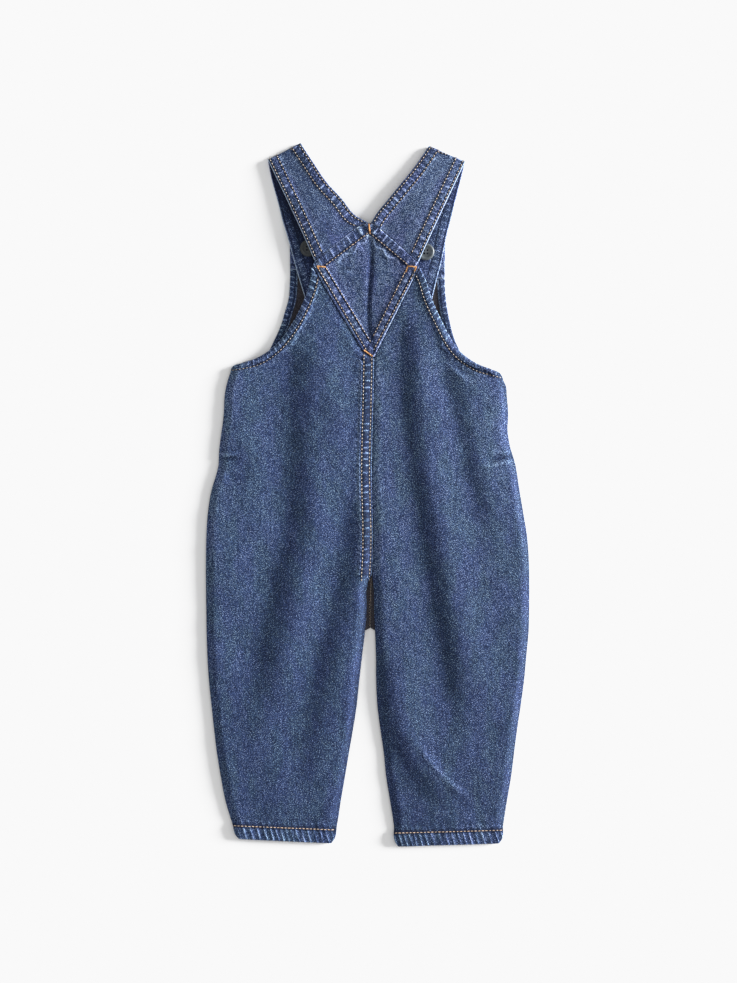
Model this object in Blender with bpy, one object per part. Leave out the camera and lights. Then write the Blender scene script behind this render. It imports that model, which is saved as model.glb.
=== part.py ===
"""A child's denim dungarees, laid flat on their front with the back up.

Sizes are in millimetres until a mesh is made, which is in metres. The surface that the garment
lies on is z = 0, +Y points to the straps, and -X is the wearer's left, seen from the back. Each
cloth piece is a wall between two grids of points: straight rows run from its outer edge to its
inner edge, and its turned hems and felled seams are bands of those points moved out.
"""

import math

import bmesh
import bpy
import numpy as np

MM = 0.001
GAP = 0.3  # between neighbouring pieces
SEAM_GAP = 1.5 * GAP  # between a strap's bent end and the yoke
CLOTH = 1.2  # one layer of washed denim
STRAP_CLOTH = 1.6  # the strap is two layers, pressed
FACING_CLOTH = 1.0

# Heights of the layers over the surface that the garment lies on.
ON_FRONT = CLOTH + GAP
HEM_RISE = 0.8  # a hem or a felled seam stands this much over the plain cloth
ON_FRONT_HEM = CLOTH + HEM_RISE + GAP
ON_FACING = ON_FRONT + FACING_CLOTH + GAP
STRAP_RISE = 0.4  # the strap's stitched edges stand this much over its middle
STRAP_ON_BIB = ON_FACING + 0.1
BUTTON_BOTTOM = STRAP_ON_BIB + STRAP_CLOTH + GAP

LEG_HEM = 11.0  # width of the turned leg hem
ARMHOLE_HEM = 7.5
CENTRE_FELL = 11.5
YOKE_FELL = 8.8
STRAP_HEM = 8.8
STEP = 0.7  # width of the step from a band down to the plain cloth
SEAM_EASE = 10.0  # from a low edge, the cloth rises to its full height in about this distance
BAND_SHARE = 0.44  # where a piece runs narrow, a band takes at most this share of a row
STEEPEST = 0.35  # least sine between a row and an edge that widens a band along the row
UNDERARM_RISE = 86.0  # above this level a back's side edge rises onto the front's armhole hem
UNDERARM_EASE = 12.0
FRONT_INSET = 1.0  # the backs lap the fronts at the sides by this much
FRONT_HEM = ARMHOLE_HEM - 1.5
FRONT_TOP_LEAN = 4.0  # a front's row at the underarm ends this much higher at its centre

CROTCH_BACK = -70.0
CROTCH_FRONT = -117.0
CROTCH_REACH = 12.0  # the inseams lift off the fronts this far below the crotch
CROTCH_HEIGHT = 2.4  # the centre back seam's underside, at the crotch and further up
CENTRE_HEIGHT = 3.3
CENTRE_EASE = 60.0
LOFT = (  # (y, height): the undersides of the backs, away from their edges
    (-305.0, 2.7), (-285.0, 3.1), (-240.0, 3.7), (60.0, 3.7), (130.0, 4.0), (190.0, 5.6),
)

# Rows and columns of points.
HEM_ROWS = 3  # on a leg hem
LEG_ROWS, BODY_ROWS = 21, 18  # of a back, below and above its crotch
FRONT_LEG_ROWS, FRONT_BODY_ROWS = 12, 13
BIB_ROWS = 14
FACING_ROWS = 6
STRAP_BACK_ROWS = 14
TO_SLIT_ROWS, SLIT_ROWS, END_PART_ROWS = 11, 4, 9  # along a strap's front part
FOLD_TURNS = 8
BAND_POINTS = 4  # across a band and its step
BACK_COLUMNS, FRONT_COLUMNS, FACING_COLUMNS, YOKE_COLUMNS, STRAP_COLUMNS = 9, 5, 12, 8, 5

# The outline, as (y, x) rows from the leg hem up.
SIDE_LEFT = (
    (-303.2, -113.2), (-301.2, -115.2), (-290.5, -119.0), (-269.0, -125.5), (-248.0, -129.5),
    (-226.5, -133.0), (-205.5, -135.5), (-184.5, -137.8), (-163.0, -140.0), (-142.0, -141.3),
    (-99.5, -142.3), (-57.0, -142.6), (-36.0, -142.2), (-15.0, -140.8), (6.5, -137.1),
    (17.0, -133.8), (26.0, -131.6), (38.0, -131.0), (49.0, -129.8), (70.0, -127.0),
    (91.0, -125.6), (102.7, -122.8), (107.6, -121.2), (110.2, -120.5),
)
SIDE_RIGHT = (
    (-307.2, 115.8), (-305.0, 117.6), (-290.5, 119.8), (-269.0, 123.2), (-248.0, 126.8),
    (-226.5, 129.5), (-205.5, 132.2), (-184.5, 135.4), (-163.0, 138.2), (-142.0, 140.2),
    (-120.0, 142.2), (-90.0, 142.8), (-57.0, 142.4), (-36.0, 140.8), (-15.0, 137.4),
    (6.5, 133.8), (27.5, 130.4), (45.0, 125.4), (59.0, 123.6), (70.0, 124.2),
    (88.0, 122.9), (97.3, 121.8), (100.5, 120.2), (103.0, 119.3),
)
INSEAM_LEFT = (
    (-307.0, -32.0), (-304.5, -30.0), (-290.5, -26.8), (-269.0, -23.4), (-248.0, -19.8),
    (-226.5, -16.2), (-205.5, -12.6), (-184.5, -9.4), (-163.0, -7.2), (-142.0, -4.8),
    (-120.0, -2.2), (-99.5, -0.7), (-82.0, -0.7), (-75.5, 0.8), (CROTCH_BACK, 3.8),
)
INSEAM_RIGHT = (
    (-309.8, 27.0), (-307.0, 25.0), (-290.5, 23.2), (-269.0, 19.8), (-248.0, 16.4),
    (-226.5, 14.2), (-205.5, 11.2), (-184.5, 8.6), (-163.0, 7.6), (-142.0, 7.4),
    (-120.0, 6.6), (-99.5, 5.8), (-82.0, 5.5), (CROTCH_BACK, 4.1),
)
CENTRE_BACK = (
    (CROTCH_BACK, 3.8), (-57.0, 4.6), (-36.0, 5.0), (-15.0, 4.6), (6.5, 4.0), (22.0, 3.8),
    (47.0, 4.2), (69.0, 4.8), (94.0, 5.4), (120.6, 5.9),
)
CENTRE_FRONT = ((CROTCH_FRONT, 2.4), (-60.0, 3.4), (40.0, 4.0), (140.0, 2.4), (228.5, 0.6))

# Armholes, as (x, y, height of the underside) from the underarm up.
ARMHOLE_LEFT = (
    (-120.5, 110.2, ON_FRONT_HEM), (-119.2, 113.2, 2.3), (-111.0, 116.6, 2.4),
    (-98.7, 120.6, 2.6), (-88.3, 126.5, 3.0), (-79.8, 133.6, 3.3), (-70.6, 145.0, 3.7),
    (-62.3, 158.4, 4.2), (-55.7, 172.6, 4.9), (-51.1, 186.3, 5.8), (-49.6, 194.0, 6.3),
    (-49.1, 201.0, 6.6),
)
ARMHOLE_RIGHT = (
    (119.3, 103.0, ON_FRONT_HEM), (117.4, 106.9, 2.3), (109.1, 111.2, 2.4),
    (99.2, 114.9, 2.6), (89.7, 120.2, 3.0), (80.8, 127.6, 3.3), (72.6, 139.4, 3.7),
    (65.6, 153.2, 4.1), (56.4, 173.2, 4.8), (50.5, 191.2, 6.0), (46.0, 200.5, 6.6),
)
BIB_LEFT = (
    (-118.4, 107.8), (-110.0, 112.6), (-98.0, 117.4), (-91.5, 121.6), (-87.2, 127.2),
    (-82.5, 136.4), (-76.6, 149.5), (-72.9, 161.8), (-69.6, 173.5), (-68.6, 186.0),
    (-68.5, 208.0), (-68.8, 228.5),
)
BIB_RIGHT = (
    (117.0, 101.4), (108.0, 107.2), (97.5, 112.0), (88.4, 118.0), (80.4, 129.6),
    (76.4, 138.9), (72.6, 153.5), (69.8, 169.0), (68.6, 182.0), (68.5, 208.0), (69.0, 228.5),
)

# The yoke's seams, as (x, y, height of the underside) from its lower tip up.
YOKE_LEFT = (
    (4.8, 122.0, 3.4), (-4.9, 128.3, 3.6), (-26.8, 164.8, 4.6), (-48.6, 201.2, 6.6),
    (-46.4, 206.2, 6.8), (-37.0, 213.7, 6.8), (-24.0, 224.0, 6.2), (-10.5, 234.7, 5.0),
    (-5.2, 237.9, 4.7), (0.6, 239.6, 4.6),
)
YOKE_RIGHT = (
    (5.8, 122.0, 3.4), (25.6, 161.4, 4.6), (45.5, 200.7, 6.6), (44.6, 204.9, 6.8),
    (36.0, 212.6, 6.8), (24.0, 223.2, 6.2), (12.6, 233.3, 5.1), (2.8, 239.6, 4.6),
)
YOKE_LEVELS = (
    122.0, 125.0, 128.3, 134.0, 143.0, 152.0, 161.4, 171.0, 181.0, 191.0, 197.0, 201.2,
    204.9, 206.2, 212.6, 218.0, 223.2, 228.0, 233.3, 234.7, 237.9, 239.6,
)
YOKE_CORNER = 202.0  # below this level the yoke meets the backs, above it the straps
YOKE_SAG = 1.4  # the yoke's middle hangs this much below a straight row
YOKE_FULL = 60.0  # where it is this wide it sags in full
YOKE_CREASE = (  # (y, x, depth): the long crease down its middle
    (122.0, 5.0, 0.0), (140.0, 3.6, 0.9), (165.0, 2.2, 1.1), (200.0, 2.0, 0.9), (232.0, 1.6, 0.0),
)
CREASE_WIDTH = 5.0

# Straps, as (outer x, outer y, inner x, inner y, outer height, inner height), undersides.
# The back part runs from the yoke to the shoulder fold, the front part from there into the bib.
STRAP_LEFT_BACK = (
    (-46.6, 206.5, -0.9, 240.0, 6.8, 4.6), (-51.0, 216.6, -11.8, 247.4, 7.4, 4.7),
    (-57.7, 231.6, -22.2, 260.6, 7.4, 4.9), (-65.6, 248.8, -36.6, 276.6, 6.2, 4.8),
    (-75.4, 269.6, -47.3, 292.5, 4.3, 3.9), (-88.0, 295.9, -59.0, 310.7, 2.4, 2.4),
)
STRAP_RIGHT_BACK = (
    (44.8, 205.2, 3.1, 240.0, 6.8, 4.6), (49.5, 215.7, 8.2, 248.4, 7.4, 4.7),
    (56.3, 230.4, 16.8, 259.0, 7.4, 4.9), (64.6, 248.3, 28.2, 273.0, 6.2, 4.8),
    (74.0, 268.4, 40.8, 288.6, 4.3, 3.9), (86.2, 294.2, 54.2, 308.2, 2.4, 2.4),
)
STRAP_LEFT_FRONT = (
    (-88.0, 295.9, -59.0, 310.7, 0.0, 0.0), (-84.9, 280.2, -54.3, 290.4, 0.0, 0.0),
    (-78.7, 257.2, -48.0, 266.4, 0.1, 0.1), (-74.2, 239.5, -43.5, 248.6, 1.0, 1.0),
    (-71.5, 231.0, -40.8, 239.8, 2.9, 2.7), (-64.6, 206.0, -34.0, 214.6, 2.9, 2.9),
    (-59.6, 188.5, -29.0, 197.1, 2.6, 2.9), (-56.4, 178.0, -25.8, 186.6, 1.8, 1.8),
    (-49.6, 156.5, -19.0, 165.1, 1.6, 1.6),
)
STRAP_RIGHT_FRONT = (
    (86.2, 294.2, 54.2, 308.2, 0.0, 0.0), (82.0, 276.7, 51.2, 286.0, 0.0, 0.0),
    (76.3, 254.6, 45.7, 261.6, 0.1, 0.1), (72.6, 239.5, 42.0, 246.6, 1.0, 1.0),
    (70.4, 231.0, 39.8, 238.2, 2.9, 2.7), (65.2, 206.0, 34.6, 213.2, 2.9, 2.9),
    (60.9, 189.5, 30.3, 196.7, 2.9, 2.9), (58.4, 179.0, 27.8, 186.2, 1.8, 1.8),
    (53.2, 156.5, 22.6, 163.7, 1.6, 1.6),
)
FOLD_RADIUS = 2.0  # outer radius of the strap's turn at the shoulder
END_ROWS = 4  # rows over which a strap's bent end straightens
TILT_FROM = 0.25  # from this share of its width, a strap leans down to its inner edge

FACING_LOWER = {-1: 199.3, 1: 191.2}  # its lower edge, at the left and at the right
FACING_UPPER = 228.2
BIB_ROW = 12.0  # the armhole hem runs out within this much under the facing
BIB_UPRIGHT = 160.0  # above this level the bib's sides are nearly upright

# Folds of the backs: (depth, width, course), the course as (y, x) rows from its lower end.
FOLDS_LEFT = (
    (1.7, 12.0, ((-262.0, -103.0), (-225.0, -97.0), (-180.0, -88.0), (-92.0, -73.0),
                 (-22.0, -60.0), (60.0, -61.0), (128.0, -62.0))),
    (1.2, 10.0, ((-262.0, -47.0), (-225.0, -43.5), (-180.0, -40.0), (-100.0, -24.5),
                 (-40.0, -14.0), (10.0, -12.0))),
    (-0.8, 15.0, ((-240.0, -66.0), (-150.0, -60.0), (-60.0, -38.0), (30.0, -30.0), (95.0, -28.0))),
    (-0.8, 14.0, ((-190.0, -118.0), (-100.0, -112.0), (-10.0, -106.0), (70.0, -92.0))),
)
FOLDS_RIGHT = (
    (1.8, 11.0, ((-262.0, 84.0), (-225.0, 77.0), (-163.0, 64.5), (-92.0, 58.0), (-22.0, 45.0),
                 (40.0, 39.0), (100.0, 31.0), (158.0, 31.0))),
    (1.3, 9.0, ((-20.0, 92.0), (30.0, 86.0), (84.0, 70.0), (128.0, 62.0))),
    (-0.8, 13.0, ((-230.0, 46.0), (-150.0, 34.0), (-60.0, 24.0), (40.0, 17.0), (100.0, 16.0))),
    (-0.8, 14.0, ((-200.0, 108.0), (-100.0, 102.0), (0.0, 76.0), (70.0, 54.0), (130.0, 47.0))),
)
FOLD_FADE = 40.0  # a fold fades in over this length at either end

BUTTON_RADIUS = 7.5
BUTTON_HEIGHT = 2.2
BUTTON_LEFT = (-52.0, 217.6)
BUTTON_RIGHT = (51.4, 214.4)
BUTTON_SIDES = 32
HOLE_SIDES = 10
BUTTON_HOLE = 0.8  # radius of each of its four holes
BUTTON_HOLE_AT = 2.0
SHANK_RADIUS = 0.9
SLIT_WIDTH = 2.6  # the buttonhole, drawn open by the shank
SLIT_LENGTH = 16.0
PLACES_TRIED = 400  # along a strap, to find the place nearest its button

DENIM = (0.062, 0.098, 0.184)
DENIM_ROUGHNESS = 0.88
BUTTON_COLOUR = (0.030, 0.042, 0.048)
BUTTON_ROUGHNESS = 0.42
SMOOTH_BELOW = math.radians(40)  # an edge between faces turned less than this is shaded smooth


def curve(table, at):
    """The second column of a table read at places on the first, on a cubic through every row."""
    rows = np.asarray(table, float)
    place, value = rows[:, 0], rows[:, 1]
    slope = np.gradient(value, place)
    lower = np.clip(np.searchsorted(place, at, side="right") - 1, 0, len(place) - 2)
    span = place[lower + 1] - place[lower]
    t = np.clip((at - place[lower]) / span, 0.0, 1.0)
    rise = 3 * t**2 - 2 * t**3
    return (
        value[lower] * (1 - rise)
        + value[lower + 1] * rise
        + span * slope[lower] * (t**3 - 2 * t**2 + t)
        + span * slope[lower + 1] * (t**3 - t**2)
    )


def path(table, count):
    """count points along a smooth curve through a table's rows, evenly spaced along it."""
    rows = np.asarray(table, float)
    steps = np.linalg.norm(np.diff(rows[:, :2], axis=0), axis=1)
    length = np.concatenate([[0.0], np.cumsum(steps)])
    at = np.linspace(0.0, length[-1], count)
    columns = [curve(np.stack([length, column], 1), at) for column in rows.T]
    return np.stack(columns, 1)


def seam_at(seam, levels):
    """Points (x, y, height) where a straight-sided seam crosses these levels of y."""
    x, y, height = np.array(seam).T
    return np.stack([np.interp(levels, y, x), levels, np.interp(levels, y, height)], 1)


def polyline(table, shares):
    """Points at these shares of the length of a table's straight runs."""
    rows = np.asarray(table, float)
    steps = np.linalg.norm(np.diff(rows[:, :2], axis=0), axis=1)
    length = np.concatenate([[0.0], np.cumsum(steps)])
    return np.stack([np.interp(shares * length[-1], length, column) for column in rows.T], 1)


def moved_out(points, distance):
    """Points of a line moved sideways in plan, to the left of its direction where positive."""
    along = np.gradient(points[:, :2], axis=0)
    along /= np.linalg.norm(along, axis=1, keepdims=True)
    moved = points.copy()
    moved[:, 0] -= along[:, 1] * distance
    moved[:, 1] += along[:, 0] * distance
    return moved


def ease(t):
    """A smooth step from 0 to 1."""
    t = np.clip(t, 0.0, 1.0)
    return t * t * (3.0 - 2.0 * t)


def sine_to(outer, inner):
    """How steeply each row leaves its outer edge: 1 where it is square to it."""
    row = inner[:, :2] - outer[:, :2]
    row /= np.linalg.norm(row, axis=1, keepdims=True)
    edge = np.gradient(outer[:, :2], axis=0)
    edge /= np.linalg.norm(edge, axis=1, keepdims=True)
    return np.clip(np.abs(row[:, 0] * edge[:, 1] - row[:, 1] * edge[:, 0]), STEEPEST, 1.0)


def stations(outer, inner, outer_band, inner_band, between):
    """Distances of the columns from the outer edge, and which columns lie on a band.

    Each band is a width square to its edge, or 0 for none, and ends in a narrow step.
    """
    length = np.linalg.norm(inner[:, :2] - outer[:, :2], axis=1)
    reach = BAND_SHARE * length[:, None]

    def cuts(band, first, second):
        if not band:
            return np.zeros((len(length), 1)), [False]
        wide = np.array([[0.0, band / 2, band, band + STEP]])
        return wide / sine_to(first, second)[:, None], [True, True, True, False]

    near, near_band = cuts(outer_band, outer, inner)
    far, far_band = cuts(inner_band, inner, outer)
    near = near * np.minimum(1.0, reach / np.maximum(near[:, -1:], STEP))
    far = far * np.minimum(1.0, reach / np.maximum(far[:, -1:], STEP))
    far = length[:, None] - far[:, ::-1]
    share = np.arange(1, between) / between
    middle = near[:, -1:] + (far[:, :1] - near[:, -1:]) * share
    on_band = near_band + [False] * (between - 1) + far_band[::-1]
    return np.concatenate([near, middle, far], 1), np.array(on_band)


def spread(outer, inner, distance):
    """Points on straight rows at these distances from the outer edge."""
    length = np.linalg.norm(inner[:, :2] - outer[:, :2], axis=1)
    share = (distance / length[:, None])[:, :, None]
    return outer[:, None, :] * (1 - share) + inner[:, None, :] * share


def fold_depth(folds, x, y):
    """How far the folds press the cloth down at each point, negative on a ridge."""
    total = np.zeros_like(x)
    for depth, width, course in folds:
        middle = curve(course, np.clip(y, course[0][0], course[-1][0]))
        fade = ease((y - course[0][0]) / FOLD_FADE) * ease((course[-1][0] - y) / FOLD_FADE)
        total += depth * fade * np.exp(-(((x - middle) / width) ** 2))
    return total


def material(name, colour, roughness):
    made = bpy.data.materials.get(name) or bpy.data.materials.new(name)
    made.use_nodes = True
    shader = made.node_tree.nodes["Principled BSDF"]
    shader.inputs["Base Color"].default_value = (*colour, 1.0)
    shader.inputs["Roughness"].default_value = roughness
    shader.inputs["Metallic"].default_value = 0.0
    made.diffuse_color = (*colour, 1.0)
    return made


def add_object(name, mesh, finish):
    mesh.materials.append(finish)
    mesh.shade_smooth()
    mesh.set_sharp_from_angle(angle=SMOOTH_BELOW)
    made = bpy.data.objects.new(name, mesh)
    bpy.context.scene.collection.objects.link(made)
    return made


def wall(name, lower, upper, finish, kept=None):
    """A closed wall between two grids of points. kept, if given, says which cells are cloth."""
    rows, columns = lower.shape[:2]
    index = np.arange(rows * columns).reshape(rows, columns)
    if kept is None:
        kept = np.ones((rows - 1, columns - 1), bool)
    bm = bmesh.new()
    points = np.concatenate([lower.reshape(-1, 3), upper.reshape(-1, 3)]) * MM
    verts = [bm.verts.new(point) for point in points]
    count = rows * columns
    edges = {}
    for i, j in np.argwhere(kept):
        corners = [index[i, j], index[i, j + 1], index[i + 1, j + 1], index[i + 1, j]]
        bm.faces.new([verts[c] for c in reversed(corners)])
        bm.faces.new([verts[c + count] for c in corners])
        for a, b in zip(corners, corners[1:] + corners[:1]):
            edges[(a, b)] = (b, a) not in edges
            if not edges[(a, b)]:
                edges[(b, a)] = False
    for (a, b), is_rim in edges.items():
        if is_rim:
            bm.faces.new([verts[a], verts[b], verts[b + count], verts[a + count]])
    bmesh.ops.delete(bm, geom=[v for v in bm.verts if not v.link_faces], context="VERTS")
    bmesh.ops.recalc_face_normals(bm, faces=bm.faces)
    mesh = bpy.data.meshes.new(name)
    bm.to_mesh(mesh)
    bm.free()
    return add_object(name, mesh, finish)


def leg_and_body(side, inseam, centre, crotch, top, leg_rows, body_rows):
    """Outer and inner edges (x, y) of a half from its hem to the underarm, and its hem rows.

    The rows slant at the hem, as it does, and at the top, where the edges end at other heights.
    """
    hem_rows = np.array([0.0, LEG_HEM / 2, LEG_HEM, LEG_HEM + STEP])
    share = np.concatenate([hem_rows / (crotch - side[0][0]), np.linspace(0, 1, leg_rows)[2:]])
    outer_y = side[0][0] + share * (crotch - side[0][0])
    inner_y = inseam[0][0] + share * (crotch - inseam[0][0])
    leg_inner = np.stack([curve(inseam, inner_y), inner_y], 1)
    share = np.linspace(0, 1, body_rows)[1:]
    body_outer_y = crotch + share * (side[-1][0] - crotch)
    body_inner_y = crotch + share * (top - crotch)
    body_inner = np.stack([curve(centre, body_inner_y), body_inner_y], 1)
    outer_y = np.concatenate([outer_y, body_outer_y])
    outer = np.stack([curve(side, outer_y), outer_y], 1)
    on_hem = np.arange(len(outer)) < HEM_ROWS
    return outer, np.concatenate([leg_inner, body_inner]), on_hem


def build_back(name, hand, side, inseam, armhole, yoke_seam, folds, finish):
    """One back panel. hand is -1 on the left, which has the centre seam's felled band."""
    centre = [(y, x + (GAP if hand > 0 else 0.0)) for y, x in CENTRE_BACK]
    outer, inner, on_hem = leg_and_body(
        side, inseam, centre, CROTCH_BACK, CENTRE_BACK[-1][0], LEG_ROWS, BODY_ROWS
    )
    level = outer[:, 1]
    near_hem = np.arange(len(level)) < HEM_ROWS + 2
    low = np.where(near_hem, ON_FRONT_HEM, ON_FRONT)
    low = low + HEM_RISE * ease((level - UNDERARM_RISE) / UNDERARM_EASE)
    centre_rise = (CENTRE_HEIGHT - CROTCH_HEIGHT) * ease((level - CROTCH_BACK) / CENTRE_EASE)
    on_leg = inner[:, 1] < CROTCH_BACK - CROTCH_REACH
    inner_height = np.where(on_leg, low, CROTCH_HEIGHT + centre_rise)
    outer = np.column_stack([outer, low])
    inner = np.column_stack([inner, inner_height])

    levels = [level for level in YOKE_LEVELS if level < YOKE_CORNER]
    arm = path(armhole, len(levels))[1:]
    vee = moved_out(seam_at(yoke_seam, levels), -hand * GAP)[1:]
    outer = np.concatenate([outer, arm])
    inner = np.concatenate([inner, vee])
    on_hem = np.concatenate([on_hem, np.zeros(len(arm), bool)])

    distance, on_band = stations(outer, inner, ARMHOLE_HEM, CENTRE_FELL, BACK_COLUMNS)
    grid = spread(outer, inner, distance)
    length = np.linalg.norm(inner[:, :2] - outer[:, :2], axis=1)[:, None]
    by_outer = np.exp(-((distance / SEAM_EASE) ** 2))
    by_inner = np.exp(-(((length - distance) / SEAM_EASE) ** 2))
    loft = np.interp(outer[:, 1], *np.array(LOFT).T)
    by_loft = np.clip(1.0 - by_outer - by_inner, 0.0, 1.0)
    total = by_outer + by_inner + by_loft
    height = (
        by_outer * outer[:, None, 2] + by_inner * inner[:, None, 2] + by_loft * loft[:, None]
    ) / total
    folded = fold_depth(folds, grid[..., 0], grid[..., 1])
    height -= folded * (1 - by_outer) * (1 - by_inner)
    lowest = np.concatenate([low, np.full(len(arm), ON_FRONT_HEM)])[:, None]
    grid[..., 2] = np.maximum(height, lowest)

    columns = len(on_band)
    is_outer_band = on_band & (np.arange(columns) < columns // 2)
    is_inner_band = on_band & (np.arange(columns) >= columns // 2)
    on_armhole = np.arange(len(outer)) >= len(outer) - len(arm) - 1
    on_centre = inner[:, 1] > CROTCH_BACK - 1.0
    in_body = on_centre & ~on_armhole
    rise = np.zeros(grid.shape[:2])
    rise[np.ix_(on_armhole, is_outer_band)] = HEM_RISE
    if hand < 0:
        rise[np.ix_(in_body, is_inner_band)] = HEM_RISE
    rise[on_hem] = HEM_RISE
    upper = grid.copy()
    upper[..., 2] += CLOTH + rise
    return wall(name, grid, upper, finish)


def build_front(name, hand, side, inseam, bib, finish):
    """One front panel, flat on the surface. hand is -1 on the left."""
    centre = [(y, x + (GAP if hand > 0 else 0.0)) for y, x in CENTRE_FRONT]
    lower_inseam = [row for row in inseam if row[0] < CROTCH_FRONT - GAP]
    lower_inseam = [(y, x + hand * FRONT_INSET) for y, x in lower_inseam]
    lower_inseam.append((CROTCH_FRONT, centre[0][1]))
    inset_side = [(y, x - hand * FRONT_INSET) for y, x in side]
    outer, inner, on_hem = leg_and_body(
        inset_side, lower_inseam, centre, CROTCH_FRONT, inset_side[-1][0] + FRONT_TOP_LEAN,
        FRONT_LEG_ROWS, FRONT_BODY_ROWS,
    )
    bib_edge = path(bib, BIB_ROWS)[1:]
    share = np.linspace(0, 1, BIB_ROWS)[1:]
    centre_y = inner[-1, 1] + share * (CENTRE_FRONT[-1][0] - inner[-1, 1])
    middle = np.stack([curve(centre, centre_y), centre_y], 1)
    outer = np.concatenate([outer, bib_edge])
    inner = np.concatenate([inner, middle])
    on_hem = np.concatenate([on_hem, np.zeros(len(bib_edge), bool)])
    distance, on_band = stations(outer, inner, FRONT_HEM, 0, FRONT_COLUMNS)
    grid = np.zeros((*distance.shape, 3))
    grid[..., :2] = spread(outer, inner, distance)
    on_armhole = np.arange(len(outer)) >= len(outer) - len(bib_edge) - 1
    below_facing = outer[:, 1] < FACING_LOWER[hand] - BIB_ROW
    rise = np.zeros(distance.shape)
    rise[np.ix_(on_armhole & below_facing, on_band)] = HEM_RISE
    rise[on_hem] = HEM_RISE
    upper = grid.copy()
    upper[..., 2] = CLOTH + rise
    return wall(name, grid, upper, finish)


def build_facing(finish):
    """The strip inside the top of the bib, as wide as the bib."""
    edges = []
    for hand, bib in ((-1, BIB_LEFT), (1, BIB_RIGHT)):
        levels = np.linspace(FACING_LOWER[hand], FACING_UPPER, FACING_ROWS)
        upright = [(y, x) for x, y in bib if y > BIB_UPRIGHT]
        x = curve(upright, levels) - hand * GAP
        edges.append(np.stack([x, levels], 1))
    distance, _ = stations(edges[0], edges[1], 0, 0, FACING_COLUMNS)
    grid = np.zeros((*distance.shape, 3))
    grid[..., :2] = spread(edges[0], edges[1], distance)
    grid[..., 2] = ON_FRONT
    upper = grid.copy()
    upper[..., 2] += FACING_CLOTH
    return wall("bib_facing", grid, upper, finish)


def build_yoke(finish):
    """The kite between the backs and the straps, with a felled band on all four seams."""
    outer, inner = seam_at(YOKE_LEFT, YOKE_LEVELS), seam_at(YOKE_RIGHT, YOKE_LEVELS)
    distance, on_band = stations(outer, inner, YOKE_FELL, YOKE_FELL, YOKE_COLUMNS)
    grid = spread(outer, inner, distance)
    length = np.linalg.norm(inner[:, :2] - outer[:, :2], axis=1)[:, None]
    share = distance / length
    crease = np.array(YOKE_CREASE)
    middle = np.interp(grid[..., 1], crease[:, 0], crease[:, 1])
    depth = np.interp(grid[..., 1], crease[:, 0], crease[:, 2])
    fullness = ease(length / YOKE_FULL)
    grid[..., 2] -= YOKE_SAG * fullness * 4 * share * (1 - share)
    grid[..., 2] -= depth * np.exp(-(((grid[..., 0] - middle) / CREASE_WIDTH) ** 2))
    rise = np.where(on_band, HEM_RISE, 0.0)[None, :] * np.ones_like(distance)
    upper = grid.copy()
    upper[..., 2] += CLOTH + rise
    return wall("back_yoke", grid, upper, finish)


def along_strap(table):
    """A strap part's rows and how far along its middle line each one lies."""
    rows = np.asarray(table, float)
    middle = (rows[:, :2] + rows[:, 2:4]) / 2
    steps = np.linalg.norm(np.diff(middle, axis=0), axis=1)
    return rows, np.concatenate([[0.0], np.cumsum(steps)])


def strap_rows(table, at):
    """Outer and inner edge points, with heights, at these distances along a part of a strap."""
    rows, length = along_strap(table)
    plan = [curve(np.stack([length, column], 1), at) for column in rows[:, :4].T]
    heights = [np.interp(at, length, column) for column in rows[:, 4:].T]
    return np.stack([*plan[:2], heights[0]], 1), np.stack([*plan[2:], heights[1]], 1)


def slit_place(front, button):
    """Where the button sits on the front part: how far along it, and how far in from its edge."""
    _, length = along_strap(front)
    at = np.linspace(0.0, length[-1], PLACES_TRIED)
    outer, inner = strap_rows(front, at)
    away = np.linalg.norm((outer[:, :2] + inner[:, :2]) / 2 - button, axis=1)
    nearest = int(np.argmin(away))
    return at[nearest], float(np.linalg.norm(outer[nearest, :2] - button))


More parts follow.
